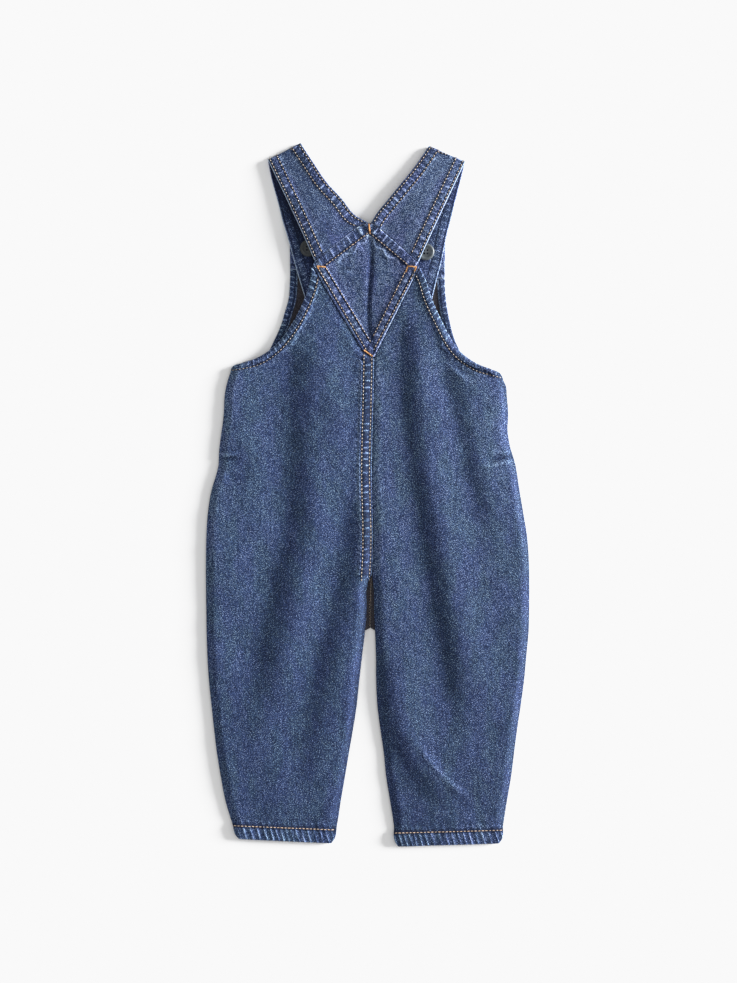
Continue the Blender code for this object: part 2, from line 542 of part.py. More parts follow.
def build_strap(name, hand, back, front, yoke_seam, button, finish):
    """A strap: its back part, the turn at the shoulder, and its front part with a buttonhole.

    Its end follows the yoke's seam. The turn is half a circle, square to the fold line, whose far
    side is that line. hand is -1 on the left.
    """
    button_at, button_in = slit_place(front, np.array(button))
    slit_ends = (button_at - SLIT_LENGTH / 2, button_at + SLIT_LENGTH / 2)
    _, back_length = along_strap(back)
    _, front_length = along_strap(front)
    back_at = np.linspace(0.0, back_length[-1], STRAP_BACK_ROWS)
    back_outer, back_inner = strap_rows(back, back_at)
    front_at = np.concatenate([
        np.linspace(0.0, slit_ends[0], TO_SLIT_ROWS),
        np.linspace(*slit_ends, SLIT_ROWS)[1:],
        np.linspace(slit_ends[1], front_length[-1], END_PART_ROWS)[1:],
    ])
    front_outer, front_inner = strap_rows(front, front_at)

    fold = back_inner[-1, :2] - back_outer[-1, :2]
    fold /= np.linalg.norm(fold)
    away = np.array([-fold[1], fold[0]]) * np.sign(fold[0])
    for on_back, on_front in ((back_outer, front_outer), (back_inner, front_inner)):
        on_back[-1, :2] -= away * FOLD_RADIUS
        on_front[0, :2] = on_back[-1, :2]
    across = (STRAP_HEM, STRAP_HEM, STRAP_COLUMNS)
    back_across, on_band = stations(back_outer, back_inner, *across)
    front_across, _ = stations(front_outer, front_inner, *across)

    def whole(on_back, on_front):
        turned = np.repeat(on_back[-1:], FOLD_TURNS - 1, 0)
        return np.concatenate([on_back, turned, on_front])

    outer, inner = whole(back_outer, front_outer), whole(back_inner, front_inner)
    distance = whole(back_across, front_across)
    backs, fronts = len(back_outer), len(front_at)
    turn = np.linspace(math.pi / 2, -math.pi / 2, FOLD_TURNS + 1)
    angle = np.concatenate([np.full(backs - 1, turn[0]), turn, np.full(fronts - 1, turn[-1])])
    angle = angle[:, None]
    on_back_part = np.arange(len(angle)) < backs
    on_front_part = np.arange(len(angle)) >= len(angle) - fronts

    first = BAND_POINTS - 1
    last = first + STRAP_COLUMNS
    room = distance[:, last] - distance[:, first]
    slit_share = (button_in + np.array([-1, 1]) * SLIT_WIDTH / 2 - distance[-1, first]) / room[-1]
    shares = np.array([slit_share[0] / 2, *slit_share, (1 + slit_share[1]) / 2])
    blend = ((1 - np.sin(angle[:, 0])) / 2)[:, None]
    middle = blend * shares + (1 - blend) * np.arange(1, STRAP_COLUMNS) / STRAP_COLUMNS
    distance[:, first + 1:last] = distance[:, [first]] + room[:, None] * middle

    base = spread(outer, inner, distance)
    length = np.linalg.norm(inner[:, :2] - outer[:, :2], axis=1)[:, None]
    slope = ease((distance / length - TILT_FROM) / (1 - TILT_FROM))
    height = outer[:, None, 2] * (1 - slope) + inner[:, None, 2] * slope
    seam = [row for row in yoke_seam if row[1] > YOKE_CORNER]
    end = moved_out(polyline(seam, distance[0] / length[0]), -hand * SEAM_GAP)
    nearness = np.clip(1 - np.arange(len(base)) / END_ROWS, 0, 1)[:, None]
    base[..., :2] += nearness[..., None] * (end[:, :2] - base[0, :, :2])
    height += nearness * (end[:, 2] - height[0])
    rise = np.where(on_band, STRAP_RISE, 0.0)[None, :] * (1 + np.sin(angle)) / 2
    lining = base.copy()
    skin = base.copy()
    inside_radius = FOLD_RADIUS - STRAP_CLOTH
    lining[..., :2] += (away * inside_radius * np.cos(angle))[:, None, :]
    skin[..., :2] += away * ((FOLD_RADIUS + rise) * np.cos(angle))[..., None]
    lining[..., 2] = FOLD_RADIUS + inside_radius * np.sin(angle)
    skin[..., 2] = FOLD_RADIUS + (FOLD_RADIUS + rise) * np.sin(angle)
    lining[on_back_part, :, 2] = height[on_back_part]
    skin[on_back_part, :, 2] = height[on_back_part] + STRAP_CLOTH + rise[on_back_part]
    skin[on_front_part, :, 2] = height[on_front_part]
    lining[on_front_part, :, 2] = height[on_front_part] + STRAP_CLOTH

    kept = np.ones((len(angle) - 1, distance.shape[1] - 1), bool)
    slit_row = len(angle) - fronts + TO_SLIT_ROWS - 1
    kept[slit_row:slit_row + SLIT_ROWS - 1, first + 2] = False
    return wall(name, lining, skin, finish, kept)


def build_button(name, place, finish):
    """A four-hole button with a raised rim, turned from its profile, on its thread shank."""
    profile = (  # (radius, height), from the middle of its face round to the end of its shank
        (0.0, 1.3), (4.3, 1.3), (5.0, 1.9), (5.6, BUTTON_HEIGHT), (6.6, BUTTON_HEIGHT),
        (7.2, 1.8), (BUTTON_RADIUS, 1.1), (7.2, 0.4), (6.4, 0.0), (SHANK_RADIUS, 0.0),
        (SHANK_RADIUS, ON_FACING - BUTTON_BOTTOM), (0.0, ON_FACING - BUTTON_BOTTOM),
    )
    mesh = bpy.data.meshes.new(name)
    bm = bmesh.new()
    verts = [bm.verts.new((radius * MM, 0.0, height * MM)) for radius, height in profile]
    for first, second in zip(verts, verts[1:]):
        bm.edges.new((first, second))
    bm.to_mesh(mesh)
    bm.free()
    made = add_object(name, mesh, finish)
    made.location = (place[0] * MM, place[1] * MM, BUTTON_BOTTOM * MM)
    turn = made.modifiers.new("turned", "SCREW")
    turn.steps = turn.render_steps = BUTTON_SIDES
    turn.use_merge_vertices = True
    turn.merge_threshold = 0.00005
    turn.use_normal_calculate = True
    drill = bpy.data.meshes.new(name + "_drill")
    bm = bmesh.new()
    for quarter in range(4):
        angle = math.pi / 4 + quarter * math.pi / 2
        made_cone = bmesh.ops.create_cone(
            bm, cap_ends=True, segments=HOLE_SIDES, radius1=BUTTON_HOLE * MM,
            radius2=BUTTON_HOLE * MM, depth=2 * BUTTON_HEIGHT * MM,
        )
        shift = (math.cos(angle) * BUTTON_HOLE_AT * MM, math.sin(angle) * BUTTON_HOLE_AT * MM,
                 BUTTON_HEIGHT / 2 * MM)
        bmesh.ops.translate(bm, verts=made_cone["verts"], vec=shift)
    bm.to_mesh(drill)
    bm.free()
    cutter = bpy.data.objects.new(name + "_drill", drill)
    cutter.hide_render = True
    cutter.display_type = "WIRE"
    cutter.parent = made
    bpy.context.scene.collection.objects.link(cutter)
    holes = made.modifiers.new("holes", "BOOLEAN")
    holes.operation = "DIFFERENCE"
    holes.object = cutter
    return made


def main():
    for old in list(bpy.data.objects):
        bpy.data.objects.remove(old)
    denim = {}
    for piece in ("front_left", "front_right", "bib_facing", "back_left", "back_right",
                  "back_yoke", "strap_left", "strap_right"):
        denim[piece] = material(piece + "_denim", DENIM, DENIM_ROUGHNESS)
    resin = material("button_resin", BUTTON_COLOUR, BUTTON_ROUGHNESS)

    build_front("front_left", -1, SIDE_LEFT, INSEAM_LEFT, BIB_LEFT, denim["front_left"])
    build_front("front_right", 1, SIDE_RIGHT, INSEAM_RIGHT, BIB_RIGHT, denim["front_right"])
    build_facing(denim["bib_facing"])
    build_back("back_left", -1, SIDE_LEFT, INSEAM_LEFT, ARMHOLE_LEFT, YOKE_LEFT, FOLDS_LEFT,
               denim["back_left"])
    build_back("back_right", 1, SIDE_RIGHT, INSEAM_RIGHT, ARMHOLE_RIGHT, YOKE_RIGHT, FOLDS_RIGHT,
               denim["back_right"])
    build_yoke(denim["back_yoke"])
    build_strap("strap_left", -1, STRAP_LEFT_BACK, STRAP_LEFT_FRONT, YOKE_LEFT, BUTTON_LEFT,
                denim["strap_left"])
    build_strap("strap_right", 1, STRAP_RIGHT_BACK, STRAP_RIGHT_FRONT, YOKE_RIGHT, BUTTON_RIGHT,
                denim["strap_right"])
    build_button("button_left", BUTTON_LEFT, resin)
    build_button("button_right", BUTTON_RIGHT, resin)


main()
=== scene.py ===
"""The looks of a child's denim dungarees, laid flat on their front with the back up.

Every cloth piece is a wall between two grids of points, worked out in millimetres as whole arrays
and put into a mesh in metres. The surface that the garment lies on is z = 0, +Y points to the
straps, and -X is the wearer's left. The outlines are the frame's own, on finer grids; the folds,
creases, puckers and rolled edges are added to them here.
"""

import math

import bpy
import numpy as np
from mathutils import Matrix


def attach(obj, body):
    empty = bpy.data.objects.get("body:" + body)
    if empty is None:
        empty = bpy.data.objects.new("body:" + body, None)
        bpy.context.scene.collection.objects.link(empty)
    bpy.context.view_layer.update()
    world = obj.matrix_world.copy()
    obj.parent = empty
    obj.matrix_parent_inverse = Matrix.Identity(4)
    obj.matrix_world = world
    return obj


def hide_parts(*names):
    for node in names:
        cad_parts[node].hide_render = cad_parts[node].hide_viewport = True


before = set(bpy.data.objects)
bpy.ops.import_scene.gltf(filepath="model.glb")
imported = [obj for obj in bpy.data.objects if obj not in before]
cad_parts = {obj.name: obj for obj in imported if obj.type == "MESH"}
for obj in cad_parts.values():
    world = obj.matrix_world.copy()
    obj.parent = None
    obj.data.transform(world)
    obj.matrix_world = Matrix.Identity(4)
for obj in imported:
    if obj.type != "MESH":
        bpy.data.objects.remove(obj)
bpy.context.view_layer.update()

MM = 0.001
UP = np.array((0.0, 0.0, 1.0))
LEFT, RIGHT = -1, 1

GAP = 0.3  # between neighbouring pieces
SEAM_GAP = 1.5 * GAP  # between a strap's bent end and the yoke
CLOTH = 1.2  # one layer of washed denim
STRAP_CLOTH = 1.6  # the strap is two layers, pressed
FACING_CLOTH = 1.0
HEM_RISE = 0.8  # a hem or a felled seam stands this much over the plain cloth
STRAP_RISE = 0.45
ROUNDING = 1.0  # radius of a turned edge

ON_FRONT = CLOTH + GAP
ON_FRONT_HEM = CLOTH + HEM_RISE + GAP
ON_FACING = ON_FRONT + FACING_CLOTH + GAP
STRAP_ON_BIB = ON_FACING + 0.1
BUTTON_BOTTOM = STRAP_ON_BIB + STRAP_CLOTH + GAP

# Widths of hems and felled seams, and where their stitching runs.
LEG_HEM = 12.6
HEM_ROW = LEG_HEM - 0.6
HEM_REACH = 60.0  # further up a leg, nothing belongs to its hem
HEM_LEAN = 0.3  # how far its ribs lean over, for each millimetre up
ARMHOLE_HEM = 7.5
ARMHOLE_ROW = 6.3
ROW_RUNS_IN = 2.0  # it runs in closer by this at the underarm, over this length
RUNS_IN_OVER = 25.0
CENTRE_FELL = 11.5
CENTRE_ROWS = (2.2, 9.1)
YOKE_FELL = 10.0
STRAP_HEM = 9.6
STRAP_ROWS = (1.9, 8.8)
FRONT_HEM = 6.0
BAND_STEP = 1.1  # width of the step from a band down to the plain cloth
SEAM_EASE = 4.2  # from a low edge, the cloth rises to its full height in about this distance
BAND_SHARE = 0.44  # where a piece runs narrow, the close columns take this share of a row
STEEPEST = 0.35  # least sine between a row and an edge that widens a band along the row
UNDERARM_RISE = 86.0  # above this level a back's side edge rises onto the front's armhole hem
UNDERARM_EASE = 12.0
FRONT_INSET = 1.0  # the backs lap the fronts at the sides by this much
FRONT_TOP_LEAN = 4.0

# Puckers of each seam: their pitch, and how far they slant for each millimetre across it.
ARM_RIBS = (5.0, 0.35)
HEM_RIBS = (5.2, 0.0)
CENTRE_RIBS = (5.9, 0.05)
YOKE_RIBS = (6.1, 0.1)
STRAP_RIBS = (5.6, 0.1)
BIB_RIBS = (5.2, 0.4)
FACING_RIBS = (5.5, 0.4)
PRESSED = 0.30  # depth of the line that a row of stitches presses into the cloth
RUN_OUT = 1.4  # over this length puckers fade at either side of a seam
BESIDE_SEAMS = {  # puckers of the backs beside the centre seam and beside the yoke:
    # (height, first and last distance from the seam, pitch, slant, place along it, seed)
    LEFT: ((0.40, 9.1, 17.1, 5.9, -0.9, 8.645, 0), (0.30, -1.0, 8.0, 6.6, 0.5, 0.0, 4)),
    RIGHT: ((0.45, 0.5, 9.0, 6.1, -0.8, 0.0, 0), (0.45, -1.0, 17.0, 6.6, -0.9, 0.0, 4)),
}
CENTRE_LEAN = -0.95  # beyond the centre seam's rows its pale bars lean over

CROTCH_BACK = -70.0
CROTCH_FRONT = -117.0
CROTCH_REACH = 12.0  # the inseams lift off the fronts this far below the crotch
CROTCH_HEIGHT = 2.4  # the centre back seam's underside, at the crotch and further up
CENTRE_HEIGHT = 3.3
CENTRE_EASE = 60.0
LOFT = (  # (y, height): the undersides of the backs, away from their edges
    (-305.0, 2.8), (-285.0, 3.8), (-240.0, 4.9), (60.0, 5.1), (130.0, 5.0), (190.0, 5.8),
)

# The outline, as (y, x) rows from the leg hem up.
SIDE = {
    LEFT: (
        (-303.2, -113.2), (-301.2, -115.2), (-290.5, -119.0), (-269.0, -125.5), (-248.0, -129.5),
        (-226.5, -133.0), (-205.5, -135.5), (-184.5, -137.8), (-163.0, -140.0), (-142.0, -141.3),
        (-99.5, -142.3), (-57.0, -142.6), (-36.0, -142.2), (-15.0, -140.8), (6.5, -137.1), (17.0, -133.8),
        (26.0, -131.6), (38.0, -131.0), (49.0, -129.8), (70.0, -127.0), (91.0, -125.6), (102.7, -122.8),
        (107.6, -121.2), (110.2, -120.5),
    ),
    RIGHT: (
        (-307.2, 115.8), (-305.0, 117.6), (-290.5, 119.8), (-269.0, 123.2), (-248.0, 126.8),
        (-226.5, 129.5), (-205.5, 132.2), (-184.5, 135.4), (-163.0, 138.2), (-142.0, 140.2),
        (-120.0, 142.2), (-90.0, 142.8), (-57.0, 142.4), (-36.0, 140.8), (-15.0, 137.4), (6.5, 133.8),
        (27.5, 130.4), (45.0, 125.4), (59.0, 123.6), (70.0, 124.2), (88.0, 122.9), (97.3, 121.8),
        (100.5, 120.2), (103.0, 119.3),
    ),
}
INSEAM = {
    LEFT: (
        (-307.0, -32.0), (-304.5, -30.0), (-290.5, -26.8), (-269.0, -23.4), (-248.0, -19.8),
        (-226.5, -16.2), (-205.5, -12.6), (-184.5, -9.4), (-163.0, -7.2), (-142.0, -4.8), (-120.0, -2.2),
        (-99.5, -0.7), (-82.0, -0.7), (-75.5, 0.8), (CROTCH_BACK, 3.8),
    ),
    RIGHT: (
        (-309.8, 27.0), (-307.0, 25.0), (-290.5, 23.2), (-269.0, 19.8), (-248.0, 16.4), (-226.5, 14.2),
        (-205.5, 11.2), (-184.5, 8.6), (-163.0, 7.6), (-142.0, 7.4), (-120.0, 6.6), (-99.5, 5.8),
        (-82.0, 5.5), (CROTCH_BACK, 4.1),
    ),
}
CENTRE_BACK = (
    (CROTCH_BACK, 3.8), (-57.0, 4.6), (-36.0, 5.0), (-15.0, 4.6), (6.5, 4.0), (22.0, 3.8), (47.0, 4.2),
    (69.0, 4.8), (94.0, 5.4), (120.6, 5.9),
)
CENTRE_FRONT = ((CROTCH_FRONT, 2.4), (-60.0, 3.4), (40.0, 4.0), (140.0, 2.4), (228.5, 0.6))

# Armholes, as (x, y, height of the underside) from the underarm up, and the bib's sides, as (x, y).
ARMHOLE = {
    LEFT: (
        (-120.5, 110.2, ON_FRONT_HEM), (-119.2, 113.2, 2.3), (-111.0, 116.6, 2.4), (-98.7, 120.6, 2.6),
        (-88.3, 126.5, 3.0), (-79.8, 133.6, 3.3), (-70.6, 145.0, 3.7), (-62.3, 158.4, 4.2),
        (-55.7, 172.6, 4.9), (-51.1, 186.3, 5.8), (-49.6, 194.0, 6.3), (-49.1, 201.0, 6.6),
    ),
    RIGHT: (
        (119.3, 103.0, ON_FRONT_HEM), (117.4, 106.9, 2.3), (109.1, 111.2, 2.4), (99.2, 114.9, 2.6),
        (89.7, 120.2, 3.0), (80.8, 127.6, 3.3), (72.6, 139.4, 3.7), (65.6, 153.2, 4.1), (56.4, 173.2, 4.8),
        (50.5, 191.2, 6.0), (46.0, 200.5, 6.6),
    ),
}
BIB = {
    LEFT: (
        (-118.4, 107.8), (-110.0, 112.6), (-98.0, 117.4), (-91.5, 121.6), (-87.2, 127.2), (-82.5, 136.4),
        (-76.6, 149.5), (-72.9, 161.8), (-69.6, 173.5), (-68.6, 186.0), (-68.5, 208.0), (-68.8, 228.5),
    ),
    RIGHT: (
        (117.0, 101.4), (108.0, 107.2), (97.5, 112.0), (88.4, 118.0), (80.4, 129.6), (76.4, 138.9),
        (72.6, 153.5), (69.8, 169.0), (68.6, 182.0), (68.5, 208.0), (69.0, 228.5),
    ),
}

# The yoke's seams, as (x, y, height of the underside) from its lower tip up.
YOKE = {
    LEFT: (
        (4.8, 122.0, 3.4), (-4.9, 128.3, 3.6), (-26.8, 164.8, 4.6), (-48.6, 201.2, 6.6),
        (-46.4, 206.2, 6.8), (-37.0, 213.7, 6.8), (-24.0, 224.0, 6.2), (-10.5, 234.7, 5.0),
        (-5.2, 237.9, 4.7), (0.6, 239.6, 4.6),
    ),
    RIGHT: (
        (5.8, 122.0, 3.4), (25.6, 161.4, 4.6), (45.5, 200.7, 6.6), (44.6, 204.9, 6.8), (36.0, 212.6, 6.8),
        (24.0, 223.2, 6.2), (12.6, 233.3, 5.1), (2.8, 239.6, 4.6),
    ),
}
YOKE_LEVELS = (122.0, 239.6)
YOKE_CORNER = 202.0  # below this level the yoke meets the backs, above it the straps
YOKE_SAG = 1.4  # the yoke's middle hangs this much below a straight row
YOKE_FULL = 60.0  # where it is this wide it sags in full
YOKE_CREASE = (  # (y, x, depth): the long crease down its middle
    (122.0, 5.0, 0.0), (132.0, 5.4, 0.5), (146.0, 2.4, 1.2), (165.0, 1.6, 1.5), (190.0, 3.0, 1.5),
    (215.0, 4.0, 1.0), (234.0, 2.0, 0.0),
)
YOKE_SIDES = (  # (hand, rows of its seam between which it is straight, first and last stitching, seed)
    (LEFT, 1, 3, 2.9, 9.2, 1.3), (RIGHT, 0, 2, 2.9, 9.2, 2.9),
    (LEFT, 4, 8, -4.0, 8.7, 0.7), (RIGHT, 3, 6, -4.0, 8.7, 4.1),
)
YOKE_ROWS = (  # its rows of stitches: two down each side of the vee, and one under each upper seam
    ((-43.0, 199.0), (-1.3, 128.3)), ((-36.7, 200.4), (3.1, 134.5)),
    ((42.0, 198.0), (5.2, 127.6)), ((34.8, 200.0), (4.0, 138.0)),
    ((-37.0, 202.4), (1.0, 231.3)), ((1.4, 231.3), (36.0, 202.4)),
)
BAR_TACKS = (  # both ends of each
    ((1.3, 239.0), (2.2, 229.8)), ((-44.6, 201.6), (-36.7, 200.7)), ((-44.0, 201.2), (-42.8, 198.8)),
    ((35.0, 201.6), (43.7, 200.7)), ((35.4, 201.2), (33.4, 196.0)), ((42.6, 200.0), (41.4, 197.0)),
    ((-3.2, 127.9), (4.2, 122.6)),
)

# Straps, as (outer x, outer y, inner x, inner y, outer height, inner height), undersides.
STRAP_BACK = {
    LEFT: (
        (-46.6, 206.5, -0.9, 240.0, 6.8, 4.6), (-51.0, 216.6, -11.8, 247.4, 7.4, 4.7),
        (-57.7, 231.6, -22.2, 260.6, 7.4, 4.9), (-65.6, 248.8, -36.6, 276.6, 6.2, 4.8),
        (-75.4, 269.6, -47.3, 292.5, 4.3, 3.9), (-88.0, 295.9, -59.0, 310.7, 2.4, 2.4),
    ),
    RIGHT: (
        (44.8, 205.2, 3.1, 240.0, 6.8, 4.6), (49.5, 215.7, 8.2, 248.4, 7.4, 4.7),
        (56.3, 230.4, 16.8, 259.0, 7.4, 4.9), (64.6, 248.3, 28.2, 273.0, 6.2, 4.8),
        (74.0, 268.4, 40.8, 288.6, 4.3, 3.9), (86.2, 294.2, 54.2, 308.2, 2.4, 2.4),
    ),
}
STRAP_FRONT = {
    LEFT: (
        (-88.0, 295.9, -59.0, 310.7, 0.0, 0.0), (-84.9, 280.2, -54.3, 290.4, 0.0, 0.0),
        (-78.7, 257.2, -48.0, 266.4, 0.1, 0.1), (-74.2, 239.5, -43.5, 248.6, 1.0, 1.0),
        (-71.5, 231.0, -40.8, 239.8, 2.9, 2.7), (-64.6, 206.0, -34.0, 214.6, 2.9, 2.9),
        (-59.6, 188.5, -29.0, 197.1, 2.6, 2.9), (-56.4, 178.0, -25.8, 186.6, 1.8, 1.8),
        (-49.6, 156.5, -19.0, 165.1, 1.6, 1.6),
    ),
    RIGHT: (
        (86.2, 294.2, 54.2, 308.2, 0.0, 0.0), (82.0, 276.7, 51.2, 286.0, 0.0, 0.0),
        (76.3, 254.6, 45.7, 261.6, 0.1, 0.1), (72.6, 239.5, 42.0, 246.6, 1.0, 1.0),
        (70.4, 231.0, 39.8, 238.2, 2.9, 2.7), (65.2, 206.0, 34.6, 213.2, 2.9, 2.9),
        (60.9, 189.5, 30.3, 196.7, 2.9, 2.9), (58.4, 179.0, 27.8, 186.2, 1.8, 1.8),
        (53.2, 156.5, 22.6, 163.7, 1.6, 1.6),
    ),
}
FOLD_RADIUS = 2.0  # outer radius of a strap's turn at the shoulder
FOLD_TURNS = 14
END_REACH = 9.0  # length over which a strap's bent end straightens
TILT_FROM = 0.25  # from this share of its width, a strap leans down to its inner edge
LIP_PITCH = 0.9  # of the columns beside a buttonhole

FACING_LOWER = {LEFT: 199.3, RIGHT: 191.2}
FACING_UPPER = 228.2
FACING_BAND = 4.4
FACING_ROWS = 30
BIB_UPRIGHT = 160.0  # above this level the bib's sides are nearly upright
HEM_ENDS_UNDER = 12.0  # the bib's hem runs out within this much under the facing

# Folds of the backs: (height, half width of the steep bank, reach of the gentle bank, length over
# which its lower end fades, course). A course runs up the garment; the cloth climbs from its left
# side to its right side.
FOLDS = {
    LEFT: (
        (3.7, 12.5, 24.0, 125.0, ((-103.8, -238.2), (-100.2, -216.2), (-94.1, -180.8), (-87.9, -145.5),
            (-80.8, -110.2), (-73.4, -74.8), (-65.6, -39.5), (-60.6, -8.6), (-58.9, 22.3),
            (-59.4, 53.2), (-59.9, 84.1), (-60.2, 115.0), (-60.0, 146.0))),
        (3.0, 11.0, 20.0, 110.0, ((-50.8, -268.0), (-49.0, -233.8), (-45.5, -198.5), (-40.5, -163.2),
            (-31.4, -127.9), (-22.3, -92.5), (-15.6, -57.2), (-11.9, -26.3), (-8.4, 4.6))),
        (0.7, 9.0, 16.0, 80.0, ((-30.0, -20.0), (-31.0, 20.0), (-33.0, 60.0), (-36.0, 110.0))),
    ),
    RIGHT: (
        (3.9, 9.5, 24.0, 90.0, ((84.0, -228.0), (80.0, -198.5), (76.6, -172.0), (72.2, -141.1),
            (65.4, -105.8), (60.6, -74.8), (56.0, -43.9), (50.2, -8.6), (44.6, 26.7), (40.2, 57.6),
            (37.6, 84.1), (36.4, 110.6), (35.6, 137.1), (34.0, 168.0))),
        (2.3, 7.5, 20.0, 80.0, ((113.5, -58.0), (102.9, -13.0), (94.9, 17.9), (87.9, 48.8),
            (81.7, 75.3), (76.4, 97.4), (72.0, 115.0), (68.4, 132.7))),
        (3.2, 8.5, 20.0, 80.0, ((92.0, -281.0), (71.0, -270.0), (54.0, -257.0), (41.0, -242.0),
            (31.0, -225.0), (24.0, -205.0), (18.0, -185.0), (15.0, -160.0), (14.0, -130.0))),
        (1.6, 4.5, 12.0, 80.0, ((103.0, -276.0), (90.0, -269.0), (76.0, -262.0), (64.0, -250.0))),
        (1.0, 6.0, 12.0, 80.0, ((98.0, -252.0), (84.0, -243.0), (70.0, -228.0), (58.0, -210.0))),
    ),
}
FOLD_FADE = 34.0  # a fold's upper end fades over this length
FOLD_BANK_SHADE = 0.042  # darker colour on a fold's steep bank, for each millimetre of its height: partly dye kept in its hollow, partly painted shade
WAVES = ((0.18, 46.0, 0.4), (0.12, 31.0, 1.3), (0.09, 19.0, 2.3), (0.06, 12.0, 0.9))  # (size, length, turn)

# Creases: (height, half width, course), low where the height is negative.
CREASES = {
    LEFT: (
        (1.2, 1.5, ((-137.0, 36.2), (-124.0, 35.2), (-111.0, 36.8))),
        (-1.2, 1.6, ((-137.0, 32.8), (-123.0, 32.2), (-113.0, 33.4))),
        (-0.5, 4.0, ((-128.0, 20.0), (-112.0, 14.0), (-98.0, 16.0))),
        (-0.4, 10.0, ((-130.0, 46.0), (-120.0, 38.0), (-108.0, 26.0), (-100.0, 10.0))),
        (0.5, 3.0, ((-52.0, 168.0), (-57.0, 158.0), (-66.0, 147.0))),
    ),
    RIGHT: (
        (1.2, 1.7, ((94.0, 25.4), (108.0, 26.0), (120.0, 28.8), (135.0, 30.6))),
        (-1.1, 2.4, ((100.0, 30.6), (108.0, 31.0), (121.0, 33.6), (134.0, 35.6))),
        (0.7, 1.8, ((104.0, 38.6), (116.0, 37.4), (126.0, 40.0))),
        (0.6, 2.0, ((70.0, 118.0), (80.0, 106.0), (91.0, 98.0))),
        (-0.5, 2.4, ((75.0, 120.0), (86.0, 108.0), (96.0, 104.0))),
        (0.8, 3.0, ((96.0, -268.0), (78.0, -258.0), (56.0, -236.0), (40.0, -214.0))),
    ),
}
YOKE_CREASES = (
    (-0.5, 1.6, ((-28.0, 198.6), (-20.0, 199.6), (-13.0, 198.2))),
    (0.4, 1.6, ((-28.0, 195.4), (-20.0, 196.2), (-13.0, 195.2))),
    (0.5, 2.0, ((-20.0, 214.0), (-8.0, 217.0), (0.0, 214.5))),
    (0.4, 2.0, ((8.0, 214.0), (17.0, 211.0), (26.0, 206.0))),
)

# Buttons.
BUTTON = {LEFT: (-52.0, 217.6), RIGHT: (51.4, 214.4)}
BUTTON_HOLE = 0.85
BUTTON_HOLE_AT = 2.0
BUTTON_SIDES, HOLE_SIDES = 72, 20
SHANK_RADIUS = 0.9
BUTTON_PROFILE = (  # (radius, height), from its middle round to the end of its shank
    (0.0, 1.22), (2.0, 1.22), (3.6, 1.25), (4.4, 1.36), (4.9, 1.70), (5.3, 2.05), (5.7, 2.20), (6.2, 2.22),
    (6.7, 2.10), (7.15, 1.80), (7.42, 1.40), (7.50, 1.05), (7.40, 0.66), (7.05, 0.25), (6.4, 0.03),
    (5.4, 0.0), (2.6, 0.0), (SHANK_RADIUS, 0.0), (SHANK_RADIUS, ON_FACING - BUTTON_BOTTOM),
    (0.0, ON_FACING - BUTTON_BOTTOM),
)
SLIT_WIDTH = 2.6  # the buttonhole, drawn open by the shank
SLIT_LENGTH = 16.0
PLACES_TRIED = 400  # along a strap, to find the place nearest its button

# Wear, as a share of the way from dark dye to bare weft. In places it also carries painted light and shade.
GROUND = 0.37  # the plain cloth
FLECK = 0.55
EDGE_WEAR = 0.95  # along a folded edge that stands proud
RELIEF_WEAR_AND_SHADE = 0.6  # for each millimetre that a point stands off its surroundings: crests paler and hollows darker, partly wear and dye kept in hollows, partly painted highlight and shade
NO_SEAM = 3.0  # the share of the way across a seam, where there is none
LEGS_DARKEN = 0.10  # the legs grow darker downwards by this much, from this height over this length
DARKEN_FROM, DARKEN_OVER = 40.0, 320.0
STRAP_PAINTED_SHADE = (0.08, 0.85)  # painted shade on a strap's front part: away from its back part, and beside it, where the back part shades it
PALE_RIGHT = (  # patches of the right back: (x, y, half width, half length, wear)
    (112.0, 52.0, 12.0, 34.0, 0.13), (55.0, 112.0, 12.0, 30.0, 0.08), (26.0, 118.0, 8.0, 26.0, 0.11),
)

# Thread: its pitch, length and radius, and its shades.
STITCH = (3.2, 3.2, 0.36)
TACK_STITCH = (0.62, 1.5, 0.34)
INNER_STITCH = (1.9, 1.8, 0.22)
TAN, ORANGE, TACK = 0.0, 0.24, 1.0
STITCH_RINGS, STITCH_SIDES = 5, 6

# Denim: what is made of noise, as (scale, turn, stretch, detail, seat), and its colours.
TWILL = math.radians(-45.0)
NOISES = (
    (960.0, TWILL, (3.2, 1.0), 0.0, 0.0),  # dash
    (1800.0, TWILL - 0.2, (1.4, 1.0), 0.0, 0.3),  # grain
    (1500.0, TWILL, (1.5, 1.0), 0.0, 0.7),  # fleck
    (520.0, 0.0, (1.0, 16.0), 1.0, 0.6),  # slub
    (30.0, 0.3, (1.0, 1.6), 2.0, 0.9),  # cloud
    (60.0, 0.1, (1.0, 2.4), 2.0, 2.1),  # hue
    (230.0, 0.7, (1.0, 2.0), 5.0, 1.1),  # mottle
    (110.0, 0.5, (1.0, 1.6), 3.0, 1.5),  # creased
)
INDIGO = (
    (0.0, (0.003, 0.007, 0.022)), (0.28, (0.010, 0.021, 0.056)), (0.50, (0.020, 0.038, 0.092)),
    (0.72, (0.045, 0.076, 0.158)), (0.90, (0.120, 0.172, 0.270)), (1.0, (0.27, 0.33, 0.43)),
)
# The reverse, coloured near black-brown as painted shade: darker than a denim's own reverse, for the shade
# inside the garment.
REVERSE_PAINTED_SHADE = ((0.2, (0.012, 0.011, 0.015)), (0.6, (0.028, 0.026, 0.033)), (0.9, (0.06, 0.055, 0.065)))
BARE = (0.36, 0.45, 0.55)
WARM, COOL = (0.98, 1.04, 0.97), (1.00, 0.96, 1.08)
RESIN = ((0.045, 0.055, 0.061), (0.078, 0.092, 0.104))

